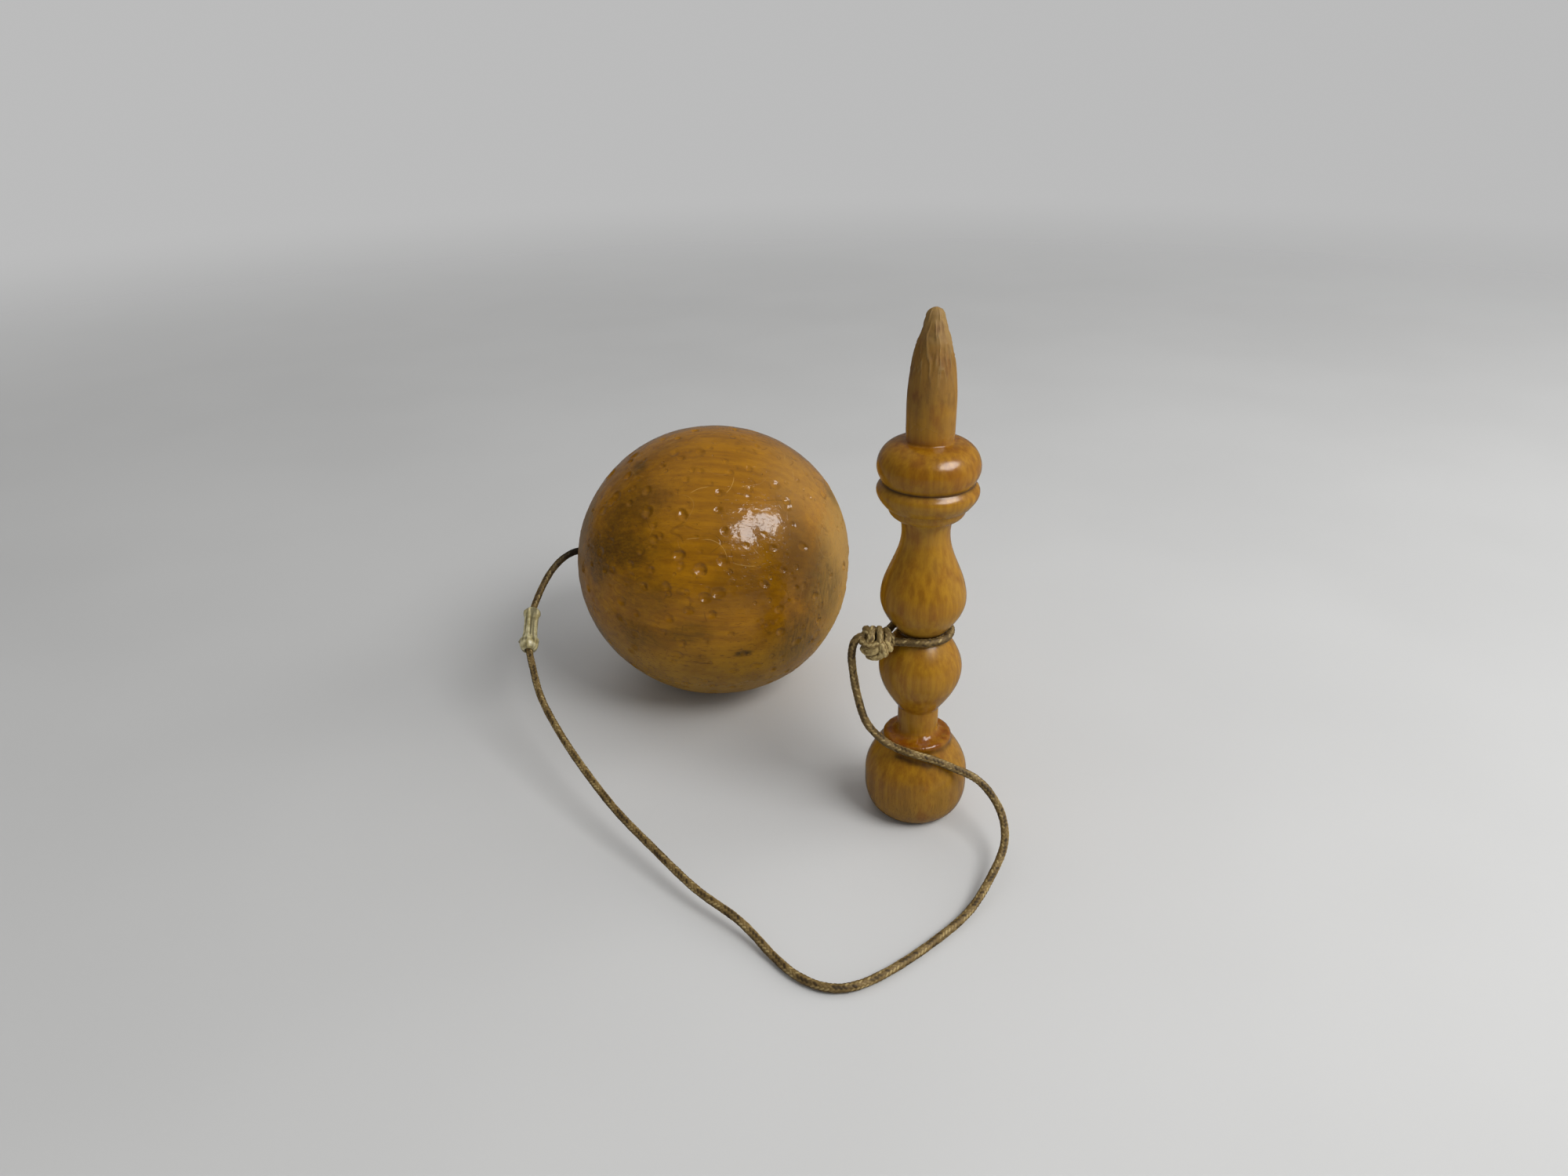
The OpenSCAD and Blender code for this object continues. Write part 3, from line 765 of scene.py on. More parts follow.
ballLook = {
    "longRadius": 51.6,  # a little longer along the bore than across it
    "mouthReach": 51.0,
    "mouthSquare": 2.1,  # 2 would be round
    "holeLip": 2.35,  # radius at which the skin turns into the cord's hole, and into the mouth
    "mouthLip": 9.9,
    "mouth": [(49.6, 9.5), (49.2, 9.0), (48.4, 8.4), (47.5, 7.9), (46.5, 7.55), (45.2, 7.4)],  # along, radius
    "wall": (43.5, 12, 7.35),  # along from and to, radius
    "floor": [(10.9, 7.2), (10.0, 6.75), (8.0, 5.4), (6.0, 4.05), (4.2, 2.85), (3.0, 2.05), (2.2, 1.8)],
    "hole": (0, -49, 1.8),
    "holeEnd": [(-50.4, 1.85), (-51.1, 2.0)],
    "boreRows": 12,
    "segments": 392,
    "boreSegments": 98,
    "rows": 240,
    "lipRows": 5,  # rows at each lip where the relief fades out
    "crowd": 0.42,  # how much closer the segments lie towards the front
    "swell": 0.16,  # mm of broad unevenness, of lumps, of fine skin and of the hammered mouth
    "lumps": 0.06,
    "skin": 0.022,
    "hammered": 0.22,
    "swellNoise": (2.0, 3.1, 2),  # scale, shift and octaves
    "lumpNoise": (13.0, 0.0, 3),
    "skinNoise": (30.0, 9.0, 2),
    "hammerNoise": (0.42, 0.0, 3),
    "hammeredFrom": 47.5,  # mm along the bore
    "hammeredOver": 3.0,
    "inset": 0.12,  # mm that the skin lies inside the solid
    "dents": [  # to the right and up as shares of the radius, seen from the front, then mm across and mm deep
        (-0.44, 0.34, 4.6, 0.42), (-0.44, 0.49, 3.8, 0.26), (-0.56, 0.41, 2.6, 0.28),
        (-0.20, 0.31, 4.4, 0.36), (-0.24, 0.04, 4.4, 0.40), (-0.23, -0.03, 3.2, 0.26),
        (-0.10, -0.06, 4.2, 0.46), (-0.33, -0.17, 3.8, 0.32), (0.01, -0.22, 5.2, 0.40),
        (-0.08, -0.25, 4.0, 0.38), (-0.19, -0.33, 3.8, 0.34), (-0.04, -0.37, 3.4, 0.30),
        (-0.33, -0.38, 3.4, 0.28), (-0.43, -0.05, 2.6, 0.30), (-0.57, -0.01, 3.2, 0.22),
        (-0.65, -0.25, 3.6, 0.30), (-0.55, -0.34, 2.8, 0.24), (-0.67, -0.37, 3.0, 0.26),
        (-0.37, -0.48, 2.6, 0.26), (-0.25, -0.56, 3.0, 0.32), (-0.09, -0.55, 2.4, 0.32),
        (0.08, -0.51, 2.6, 0.24), (0.16, -0.65, 3.4, 0.30), (0.09, -0.78, 3.2, 0.24),
        (-0.07, 0.75, 4.0, 0.30), (-0.10, 0.93, 2.8, 0.40), (-0.22, 0.87, 2.2, 0.36),
        (-0.33, 0.66, 2.0, 0.34), (-0.13, 0.62, 2.4, 0.24), (-0.07, 0.61, 2.4, 0.26),
        (-0.17, 0.55, 2.8, 0.24), (0.26, 0.61, 2.8, 0.26), (0.33, 0.78, 2.4, 0.24),
        (0.13, 0.59, 2.6, 0.22), (0.43, 0.49, 4.0, 0.34), (0.05, 0.45, 2.8, 0.32),
        (0.04, 0.33, 3.0, 0.36), (0.07, 0.19, 2.6, 0.28), (0.05, -0.01, 3.6, 0.30),
        (0.39, 0.06, 2.6, 0.28), (0.59, 0.06, 4.6, 0.26), (0.45, -0.09, 2.2, 0.26),
        (0.53, 0.21, 2.6, 0.30), (0.42, -0.51, 3.4, 0.30), (0.59, 0.52, 2.2, 0.28),
        (0.67, 0.40, 2.2, 0.30), (-0.71, 0.65, 5.0, 0.55), (-0.84, 0.39, 2.2, 0.34),
        (-0.93, -0.02, 3.0, 0.40), (-0.78, -0.55, 2.4, 0.36), (0.37, -0.79, 3.0, 0.30),
        (0.71, -0.63, 3.0, 0.34), (0.67, -0.28, 3.0, 0.34), (0.90, -0.42, 2.8, 0.36),
        (0.16, 0.97, 2.4, 0.36), (-0.06, -0.90, 2.6, 0.30),
    ],
    "deeper": 2.1,  # times the depths above and below
    "moreDents": 260,  # scattered ones, with their ranges of width and depth
    "moreWidth": (1.9, 4.4),
    "moreDepth": (0.12, 0.36),
    "pits": 420,
    "pitWidth": (1.3, 2.2),
    "pitDepth": (0.06, 0.16),
    "frontFrom": 0.15,  # share of the way to the front, past which they keep clear of those above
    "clearBy": 0.993,  # cosine of the angle between two
    "dentFlat": (0.65, 1.0),  # range of the length one way as a share of the width
    "dentLean": (-0.5, 0.5),  # range of the floor's slope
    "dentReach": 1.5,  # widths from a dent's middle, past which it does nothing
    "dentWall": (3.4, 1.1),  # powers that make the wall steep
    "dentRim": (1.0, 0.22),  # place and reach as shares of the dent's own radius
    "dentBank": (1.15, 0.2),
    "bankHigh": 0.16,  # as a share of the depth
    "darkDeep": 0.5,  # mm of depth at which a dent is marked in full
    "seed": 5,
    "fineGrain": (0.0045, 0.00045, 0.62, 0.0022),  # fleck length and width in m, amount, band width in m
    "coarseGrain": (0.011, 0.0007, 0.5, 0.009),
    "endGrain": (0.004, 0.0005, 0.75, 0.003),
    "amber": "#b47a06",
    "deepAmber": "#956008",
    "lowAmber": "#a17818",
    "stain": "#6e4606",
    "bareWood": "#ab8334",
    "greyWood": "#7f6c4a",
    "fleck": "#55330a",
    "soil": "#2b250c",
    "scratch": "#d8ac5c",
    "tar": "#543604",
    # pale worn wood, and on the right limb partly a painted sheen
    "faded": "#a07c46",
    "patches": [  # right, up, radius as a share, strength and colour
        (0.44, -0.02, 0.36, 0.36, "tar"), (0.62, 0.02, 0.34, 0.5, "tar"), (0.64, 0.52, 0.5, 0.45, "faded"),
        # the right limb's pale patch: worn wood and painted sheen
        (0.94, 0.05, 0.42, 0.4, "faded"), (-0.05, 0.62, 0.8, 0.3, "stain"),
    ],
    "patchRagged": 0.15,
    "patchBreak": 5.0,
    "soilSpots": [  # right, up, radius as a share, strength, ragged, stretch across and upwards
        (0.74, -0.28, 0.42, 0.52, 0.5, 1.2, 0.8),
        (0.56, -0.58, 0.40, 0.62, 0.6, 1.2, 0.8), (-0.80, 0.06, 0.46, 0.72, 0.4, 0.8, 1.4),
        (-0.52, -0.20, 0.36, 0.4, 0.7, 0.9, 1.0), (-0.62, 0.10, 0.44, 0.6, 0.4, 0.7, 1.7),
        (-0.50, 0.66, 0.14, 0.55, 0.8, 1.7, 0.9), (-0.60, 0.34, 0.44, 0.42, 0.6, 0.9, 1.0),
        (-0.60, -0.46, 0.32, 0.5, 0.9, 0.8, 1.5), (-0.19, -0.49, 0.22, 0.5, 0.9, 0.9, 1.4),
        (0.16, -0.65, 0.07, 0.8, 0.7, 0.7, 2.0), (0.86, 0.42, 0.20, 0.45, 0.9, 1.0, 1.0),
    ],
    "crack": "#2b1704",
    "scratches": [  # an arc about one point: its centre and radius, then the arc's middle, reach and colour
        ((-0.06, 0.0), 0.138, (0.03, 0.10), 0.13, "scratch"),
        ((0.25, 0.35), 0.41, (0.19, -0.052), 0.09, "scratch"),
        ((-0.02, 0.30), 0.212, (-0.09, 0.495), 0.08, "scratch"),
        ((-0.05, 0.57), 0.204, (0.13, 0.50), 0.08, "scratch"),
        ((-0.12, -0.2), 0.35, (-0.14, 0.15), 0.05, "scratch"),
        ((0.43, -0.2), 0.585, (0.43, 0.385), 0.09, "crack"),
        ((-0.6, 0.2), 0.50, (-0.72, 0.66), 0.10, "crack"),
    ],
}

ballOut = unit(np.array(cameraLook["at"]) - ballAt)
ballRight = unit(np.cross((0, 0, 1), ballOut))
ballUp = np.cross(ballOut, ballRight)


def onBall(right, up):  # a direction on the ball's front
    depth = math.sqrt(max(0.0, 1 - right * right - up * up))
    return unit(right * ballRight + up * ballUp + depth * ballOut)


def ballProfile(look):  # mm along the bore and radius: the skin from the hole to the mouth, then the bore
    first = math.asin(look["holeLip"] / ballRadius)
    last = math.pi - math.asin(look["mouthLip"] / ballRadius)
    tilt = np.linspace(first, last, look["rows"])
    cordSide = tilt < math.pi / 2
    bend = np.where(cordSide, 1.0, 2 / look["mouthSquare"])
    along = np.abs(np.cos(tilt)) ** bend * np.where(cordSide, -look["longRadius"], look["mouthReach"])
    skin = np.stack([along, ballRadius * np.sin(tilt) ** bend], 1)

    def straight(start, end, radius):
        return [(s, radius) for s in np.linspace(start, end, look["boreRows"])]

    bore = look["mouth"] + straight(*look["wall"]) + look["floor"]
    return skin, np.array(bore + straight(*look["hole"]) + look["holeEnd"])


def ballDents(look, random):  # direction, width and depth of each dent
    dents = [(onBall(right, up), width, deep) for right, up, width, deep in look["dents"]]
    placed = np.array([d[0] for d in dents])
    for c in unit(random.normal(size=(look["moreDents"], 3))):
        if c @ ballOut < look["frontFrom"] or (placed @ c).max() < look["clearBy"]:
            dents.append((c, random.uniform(*look["moreWidth"]), random.uniform(*look["moreDepth"])))
    for c in unit(random.normal(size=(look["pits"], 3))):
        dents.append((c, random.uniform(*look["pitWidth"]), random.uniform(*look["pitDepth"])))
    return dents


def dentField(look, way):  # mm of depth, and how dark the dents' rims are, in each direction: dirt and painted shade on one side of each rim
    random = np.random.default_rng(look["seed"])
    depth = np.zeros(len(way))
    rimDirtAndShade = np.zeros(len(way))
    steep, eased = look["dentWall"]
    for c, width, deep in ballDents(look, random):
        deep = deep * look["deeper"]
        a = unit(np.cross(c, random.normal(size=3)))
        b = np.cross(c, a)
        flat = random.uniform(*look["dentFlat"])
        lean = random.uniform(*look["dentLean"])
        near = np.nonzero(way @ c > math.cos(look["dentReach"] * width / ballRadius))[0]
        x = way[near] @ a * ballRadius / (width / 2)
        y = way[near] @ b * ballRadius / (width / 2 * flat)
        share = np.hypot(x, y)
        depth[near] += deep * np.clip(1 - share ** steep, 0, 1) ** eased * (1 + lean * x)
        # one side of the rim darkened: partly dirt, partly painted shade
        rimDirtAndShade[near] += hump(share, *look["dentRim"]) * np.clip(0.5 + 0.5 * x, 0, 1)
        depth[near] -= look["bankHigh"] * deep * hump(share, *look["dentBank"])  # a low bank round the dent
    return depth, np.clip(rimDirtAndShade, 0, 1)


def turnedPoints(profile, turn):
    ring = np.cos(turn)[:, None] * boreAcross + np.sin(turn)[:, None] * boreUp
    return (profile[:, 0, None, None] * boreOut + profile[:, 1, None, None] * ring[None]).reshape(-1, 3)


def joinRings(outer, inner):  # faces from a close ring of points to one with fewer points
    part = len(outer) // len(inner)
    faces = []
    for k in range(len(inner)):
        near = [int(outer[(k * part + i) % len(outer)]) for i in range(part + 1)]
        faces.append(near + [int(inner[(k + 1) % len(inner)]), int(inner[k])])
    return faces


def makeBall(look):
    outer, inside = ballProfile(look)
    count, few = look["segments"], look["boreSegments"]
    even = 2 * np.pi * np.arange(count) / count
    front = math.atan2(ballOut @ boreUp, ballOut @ boreAcross)
    turn = even - look["crowd"] * np.sin(even) + front
    shell = turnedPoints(outer, turn)
    way = unit(shell)
    row = np.repeat(np.arange(len(outer)), count)
    edge = np.clip(np.minimum(row, len(outer) - 1 - row) / look["lipRows"], 0, 1)
    depth, rimDirtAndShade = dentField(look, way)
    swell = look["swell"] * pointNoise(way, *look["swellNoise"])
    swell = swell + look["lumps"] * pointNoise(way, *look["lumpNoise"])
    skin = look["skin"] * pointNoise(way, *look["skinNoise"])
    worn = np.clip((outer[row, 0] - look["hammeredFrom"]) / look["hammeredOver"], 0, 1)
    knocks = look["hammered"] * pointNoise(shell, *look["hammerNoise"]) * worn
    shell = shell + way * ((swell + skin - depth) * edge + knocks - look["inset"])[:, None]
    bore = turnedPoints(inside, turn[:: count // few])
    points = np.vstack([shell, bore])
    first, last = len(shell), len(points) - few
    faces = gridFaces(len(outer), count) + gridFaces(len(inside), few, first)
    faces += joinRings(np.arange(first - count, first), np.arange(first, first + few))
    faces += [face[::-1] for face in joinRings(np.arange(count), np.arange(last, len(points)))]
    marks = {"dent": np.clip(depth / look["darkDeep"], 0, 1) * edge, "rimDirtAndShade": rimDirtAndShade * edge}
    marks = {key: np.append(v, np.zeros(len(bore))) for key, v in marks.items()}
    marks["bore"] = np.repeat([0.0, 1.0], [len(shell), len(bore)])
    points = (points + ballAt) * mm
    newPiece("turnedBall", points, faces, ballMaterial(look), "ball", ("ball",), marks)


def ballPlaces(tree):  # ways to say where on the ball: in m from its middle, or as shares of its radius
    place = vectorCalc(tree, "SUBTRACT", addNode(tree, "TexCoord").outputs["Object"], tuple(ballAt * mm))
    way = vectorCalc(tree, "NORMALIZE", place)
    parts = [vectorCalc(tree, "DOT_PRODUCT", place, tuple(v)) for v in (boreAcross, boreUp, boreOut)]
    return {
        "place": place,
        "way": way,
        "grained": addNode(tree, "CombineXYZ", dict(zip("XYZ", parts))).outputs[0],  # Z along the bore
        "toMouth": calc(tree, "DIVIDE", parts[2], ballRadius * mm),
        "height": addNode(tree, "SeparateXYZ", {"Vector": way}).outputs["Z"],
    }


def ballWear(tree, at, skin):  # where the varnish is worn: round the mouth, underneath and by the cord
    toMouth = at["toMouth"]
    worn = calc(tree, "MAXIMUM", ease(tree, toMouth, 0.55, 0.95), ease(tree, at["height"], -0.35, -0.9))
    worn = calc(tree, "MAXIMUM", worn, ease(tree, toMouth, -0.72, -0.98, 0.0, 0.7))
    bare = calc(tree, "ADD", worn, about(tree, skin["Thin"], 0.35, 0.45))
    bare = calc(tree, "ADD", bare, about(tree, cloud(tree, at["place"], 420.0, 5.0), 0.5, 1.1))
    return worn, ease(tree, bare, 0.25, 1.05)


def ballWood(tree, look, at, fine, coarse, bare):  # varnished and bare wood, with its flecks
    toMouth, height = at["toMouth"], at["height"]
    amber = blendColour(tree, fine["Band"], tint(look["deepAmber"]), tint(look["amber"]))
    amber = paintOver(tree, amber, coarse["Band"], 0.3, look["amber"])
    amber = blendColour(tree, ease(tree, height, 0.05, -0.5, 0.0, 0.75), amber, tint(look["lowAmber"]))
    stained = ease(tree, cloud(tree, at["place"], 60.0, 4.0, 0.6), 0.42, 0.7, 0.0, 0.5)
    amber = blendColour(tree, stained, amber, tint(look["stain"]))
    pale = blendColour(tree, ease(tree, toMouth, -0.6, -0.95), tint(look["bareWood"]), tint(look["greyWood"]))
    colour = blendColour(tree, calc(tree, "MULTIPLY", bare, 0.75), amber, pale)
    rings = placeGrain(tree, at["place"], *look["endGrain"])
    endGrain = calc(tree, "MULTIPLY", rings["Fleck"], ease(tree, toMouth, 0.5, 0.85, 0.0, 0.5))
    flecks = addUp(tree, (fine["Fleck"], ease(tree, height, 0.2, -0.3, 0.3, 0.72)),
                   (coarse["Fleck"], ease(tree, height, 0.2, -0.3, 0.22, 0.55)))
    return blendColour(tree, calc(tree, "MAXIMUM", flecks, endGrain), colour, tint(look["fleck"]))


def ballPatch(tree, look, at, right, up, radius, ragged, stretch=(1.0, 1.0, 1.0)):
    return useGroup(tree, brokenPatch, Vector=at["way"], Centre=tuple(onBall(right, up)), Radius=radius,
                    Stretch=tuple(stretch), Ragged=ragged, Break=look["patchBreak"])["Mask"]


def ballSoil(tree, look, at):  # dirt in broken patches, streaked along the grain
    turned = cloud(tree, vectorCalc(tree, "MULTIPLY", at["grained"], (0.12, 0.12, 1.0)), 1500.0, 4.0, 0.65)
    grainy = cloud(tree, vectorCalc(tree, "MULTIPLY", at["grained"], (1.0, 1.0, 0.15)), 1300.0, 4.0, 0.65)
    mouthward = ease(tree, at["toMouth"], 0.2, 0.6)  # there the dirt lies in the lines left by the lathe
    streak = addUp(tree, (turned, mouthward), (grainy, calc(tree, "SUBTRACT", 1.0, mouthward)))
    soil = 0.0
    for right, up, radius, strength, ragged, wide, high in look["soilSpots"]:
        stretch = np.abs(wide * ballRight) + np.abs(high * ballUp) + np.abs(ballOut)
        spot = ballPatch(tree, look, at, right, up, radius, 0.5 * ragged, stretch)
        soil = calc(tree, "MAXIMUM", soil, calc(tree, "MULTIPLY", spot, strength))
    return calc(tree, "MULTIPLY", soil, ease(tree, streak, 0.35, 0.62, 0.6, 1.0))


def ballScratches(tree, look, at, colour):
    for centre, radius, middle, reach, kind in look["scratches"]:
        off = calc(tree, "SUBTRACT", vectorCalc(tree, "DISTANCE", at["way"], tuple(onBall(*centre))), radius)
        line = ease(tree, calc(tree, "ABSOLUTE", off), 0.001, 0.0036, 1.0, 0.0)
        toMiddle = vectorCalc(tree, "DISTANCE", at["way"], tuple(onBall(*middle)))
        shown = ease(tree, toMiddle, reach * 0.6, reach, 0.42, 0.0)
        colour = paintOver(tree, colour, line, shown, look[kind])
    return colour


def ballMaterial(look):
    material, tree, shader = newMaterial("ballVarnish")
    at = ballPlaces(tree)
    fine = placeGrain(tree, at["grained"], *look["fineGrain"])
    coarse = placeGrain(tree, at["grained"], *look["coarseGrain"])
    skin = useGroup(tree, varnishSkin, Vector=at["place"], Ripple=0.0027)
    knocks = useGroup(tree, smallKnocks, Vector=at["place"], Spacing=0.0044, Share=0.42)
    hairs = useGroup(tree, hairLines, Vector=at["place"], Spacing=0.02, Width=0.006)["Line"]
    shifted = vectorCalc(tree, "ADD", at["grained"], (0.2, 0.0, 0.0))
    nicks = useGroup(tree, hairLines, Vector=shifted, Spacing=0.012, Width=0.011)["Line"]
    worn, bare = ballWear(tree, at, skin)
    colour = ballWood(tree, look, at, fine, coarse, bare)
    colour = paintOver(tree, colour, knocks["Rim"], 0.2, look["fleck"])
    for right, up, radius, strength, kind in look["patches"]:
        patch = ballPatch(tree, look, at, right, up, radius, look["patchRagged"])
        colour = paintOver(tree, colour, patch, strength, look[kind])
    colour = blendColour(tree, ballSoil(tree, look, at), colour, tint(look["soil"]))
    colour = paintOver(tree, colour, nicks, 0.3, look["fleck"])
    colour = paintOver(tree, colour, hairs, ease(tree, at["height"], -0.3, 0.3, 0.05, 0.1), look["scratch"])
    bore = vertexValue(tree, "bore")
    # dents' rims darkened on one side: partly dirt, partly painted shade
    colour = paintOver(tree, colour, vertexValue(tree, "rimDirtAndShade"), 0.42, look["fleck"])
    colour = paintOver(tree, colour, vertexValue(tree, "dent"), 0.16, look["amber"])
    colour = paintOver(tree, colour, bore, 0.75, look["greyWood"])
    colour = ballScratches(tree, look, at, colour)
    dull = calc(tree, "MULTIPLY_ADD", bare, 0.25, calc(tree, "MULTIPLY", worn, 0.75))
    rough = calc(tree, "MULTIPLY_ADD", dull, 0.4, 0.09)
    gloss = calc(tree, "SUBTRACT", 0.15, calc(tree, "MULTIPLY", dull, 0.15), clamp=True)
    gloss = calc(tree, "MULTIPLY", gloss, calc(tree, "SUBTRACT", 1.0, bore))
    relief = addUp(tree, (skin["Height"], 0.34), (fine["Height"], 0.06), (knocks["Height"], 0.4),
                   (calc(tree, "ADD", hairs, nicks), -0.05))
    finishSurface(tree, shader, colour, rough, relief, 1.0, 0.0005,
                  Coat_Weight=gloss, Coat_Roughness=0.3, **varnishBase)
    return material


makeBall(ballLook)
print("ball turned")


# Handle

handleLook = {  # heights and sizes in mm
    "segments": 168,
    "rowStep": 0.55,
    "curveSteps": 40,
    "outlineFrom": (0.4, 0),  # radius and height
    "outline": [  # the way each run goes, and the radius and height where it ends
        ("line", 10, 0), ("levelToUpright", 16.4, 10.5),  # foot
        ("line", 16.4, 14.5), ("crestToCorner", 10.9, 27),
        ("line", 10.9, 27.6), ("uprightToLevel", 9.2, 29.1), ("line", 8.5, 29.1),  # collar
        ("levelToUpright", 6.4, 31.4), ("line", 6.4, 38.8),  # stem
        ("cornerToCrest", 12.9, 53.3), ("crestToCorner", 6.9, 65.9),  # lower bulb
        ("cornerToCrest", 13, 77.4), ("crestToWaist", 7.2, 98.9),  # upper bulb
        ("uprightToLevel", 8.6, 103.8), ("levelToUpright", 11.6, 107.5),  # cove and disc
        ("line", 12.5, 107.6), ("cornerToCrest", 15, 112.2), ("crestToCorner", 13.3, 114.8),  # bead
        ("cornerToCrest", 15, 119.4), ("uprightToLevel", 7.3, 127),  # ring
        ("levelToUpright", 7, 127.5), ("line", 7, 136.6),  # spike
        ("ogive", 2.6, 161.8), ("uprightToLevel", 0.25, 164.45),
    ],
    "top": 164.5,
    "spikeFrom": 143,  # where the worn part of the spike starts
    "spikeOver": 8,
    "ridgeWidth": 0.055,
    "ridgeHigh": 0.16,
    "ridgeStretch": 0.12,  # the noise upwards as a share of that across: lower is longer
    "ridgeNoise": (0.5, 4.0, 2),  # scale, shift and octaves
    "hollowDeep": 0.2,
    "hollowSteep": 2.2,
    "fullness": [(0.15, 150, 7)],  # strength, height and reach, as in the lists below
    "dingDeep": 0.35,
    "dingNoise": (0.33, 17.0, 2),
    "dingFrom": 0.42,  # level of the noise at which dings start
    "dingBelow": 0.4,  # their depth below the spike, as a share
    "dingSpike": 0.6,  # and what the spike adds
    "waver": 0.05,
    "waverNoise": (0.09, 0.0, 2),
    "poolAt": (29.0, 1.6),  # height and reach of the varnish that has run down onto the collar
    "blobHigh": 0.3,
    "blobNoise": (0.42, 8.0, 2),
    "flatFoot": 1.5,  # height up to which the relief grows, so that the foot stays flat
    "roots": [(0.6, 127.6, 1.8), (0.3, 120.5, 3.5)],  # darker varnish at the spike's root and on the ring and painted shade under the lower bulb
    "bulbUnderShade": [(0.5, 40.0, 2.2)],  # and under the lower bulb
    "bulbFoot": 38.8,
    "grooveShade": [(1.0, 114.9, 0.5), (0.8, neckHeight, 1.6), (0.6, 27.0, 0.8)],  # painted shade in the grooves
    "cordShadowLine": [  # painted shadow of the cord: a dark line on the wood under it
        (-7.6, -9.6, 25.4), (-5.2, -11.0, 25.2), (-2.6, -12.2, 24.6), (0.4, -12.7, 24.0), (2.6, -12.8, 23.4),
    ],
    "cordShadowWidth": 0.9,
    "cordShadowDark": 0.8,
    "cordShadowStep": 0.4,
    "floorReflectionFrom": 30,  # above it, the sides that face down are painted paler, a painted reflection of the floor
    # the stem painted paler as well: a painted reflection of the floor
    "floorReflectionStem": [(0.6, 35, 4)],
    "fineGrain": (0.0032, 0.00024, 0.78, 0.0016),  # fleck length and width in m, amount, band width in m
    "broadGrain": (0.009, 0.0006, 0.5, 0.006),
    "honey": "#aa7710",
    "deepHoney": "#8b5a07",
    "bareWood": "#a8802c",
    "fleck": "#4c2c08",
    "pool": "#763903",
    "blot": "#864b08",
    # the colour of the painted shade in the grooves and under the cord
    "gap": "#241003",
    "wornSpike": "#805c20",
    "tip": "#9c8658",
    "foot": "#806026",
}


def handleOutline(look):  # the solid's own outline as (radius, height) in mm, with its corners eased
    u = np.arange(look["curveSteps"]) / look["curveSteps"]
    t = u * np.pi / 2
    ways = {  # how far the radius and the height have come at each step
        "line": (u, u),
        "levelToUpright": (np.sin(t), 1 - np.cos(t)),
        "uprightToLevel": (1 - np.cos(t), np.sin(t)),
        "cornerToCrest": (np.sin(t), u),
        "crestToCorner": (1 - np.cos(t), u),
        "crestToWaist": ((1 - np.cos(2 * t)) / 2, u),
        "ogive": (u * u, u),
    }
    here = np.array(look["outlineFrom"])
    runs = []
    for way, radius, height in look["outline"]:
        end = np.array([radius, height])
        runs.append(here + (end - here) * np.stack(ways[way], 1))
        here = end
    line = np.vstack([*runs, here])
    return evenPoints(line, look["rowStep"])


def makeHandle(look):
    outline = handleOutline(look)
    rows, count = len(outline), look["segments"]
    turn = 2 * np.pi * np.arange(count) / count
    wide, level = outline[:, :1], outline[:, 1:]
    ring = [wide * np.cos(turn), wide * np.sin(turn), np.repeat(level, count, 1)]
    points = np.stack(ring, -1).reshape(-1, 3)
    high = points[:, 2]
    spike = np.clip((high - look["spikeFrom"]) / look["spikeOver"], 0, 1)
    wander = pointNoise(points * np.array([1.0, 1.0, look["ridgeStretch"]]), *look["ridgeNoise"])
    ridges = hump(wander, 0, look["ridgeWidth"]) * spike  # wavy ridges left upright between worn hollows
    hollows = -look["hollowDeep"] * np.minimum(1, np.abs(wander) * look["hollowSteep"]) * spike
    full = humps(high, look["fullness"])
    dings = np.clip(pointNoise(points, *look["dingNoise"]) - look["dingFrom"], 0, 1)
    dings = -look["dingDeep"] * dings * (look["dingBelow"] + look["dingSpike"] * spike)
    waver = look["waver"] * pointNoise(points, *look["waverNoise"])
    pool = hump(high, *look["poolAt"])
    blobs = look["blobHigh"] * np.clip(pointNoise(points, *look["blobNoise"]), 0, 1) * pool
    out = points * np.array([1, 1, 0])
    out = out / np.maximum(np.linalg.norm(out, axis=1, keepdims=True), 1e-6)
    stands = np.clip(high / look["flatFoot"], 0, 1)
    relief = (full + hollows + look["ridgeHigh"] * ridges + dings + waver) * stands
    points = points + out * relief[:, None] + np.array([0, 0, 1.0]) * blobs[:, None]
    # darker varnish at the spike's root and on the ring, and painted shade under the lower bulb
    root = humps(high, look["roots"]) + humps(high, look["bulbUnderShade"]) * (high > look["bulbFoot"])
    # painted shadow: a dark line on the foot under the cord
    cordShadowLine = smoothRoute(look["cordShadowLine"], look["cordShadowStep"])
    toCordShadow = np.min(np.linalg.norm(points[:, None] - cordShadowLine[None], axis=2), axis=1)
    cordShadow = look["cordShadowDark"] * hump(toCordShadow, 0, look["cordShadowWidth"])
    # the sides that face down, painted paler as a reflection of the floor
    slope = np.gradient(outline, axis=0)
    under = np.repeat(np.clip(slope[:, 0] / np.linalg.norm(slope, axis=1), 0, 1), count)
    faded = under * (high > look["floorReflectionFrom"]) + humps(high, look["floorReflectionStem"])
    marks = {
        # the pool mark also holds the painted shade under the lower bulb
        "pool": np.clip(pool + root, 0, 1),
        # painted shade: the grooves and the cord's shadow
        "paintedShade": np.clip(humps(high, look["grooveShade"]) + cordShadow, 0, 1),
        "ridge": ridges,
        "faded": np.clip(faded, 0, 1),
    }
    marks = {key: np.append(v, [0, 0]) for key, v in marks.items()}
    tip = len(points)
    points = np.vstack([points, [(0, 0, 0), (0, 0, look["top"])]]) * mm
    faces = gridFaces(rows, count) + fanFaces(tip, 0, count, True) + fanFaces(tip + 1, tip - count, count)
    newPiece("turnedHandle", points, faces, handleMaterial(look), "handle", ("handle",), marks)


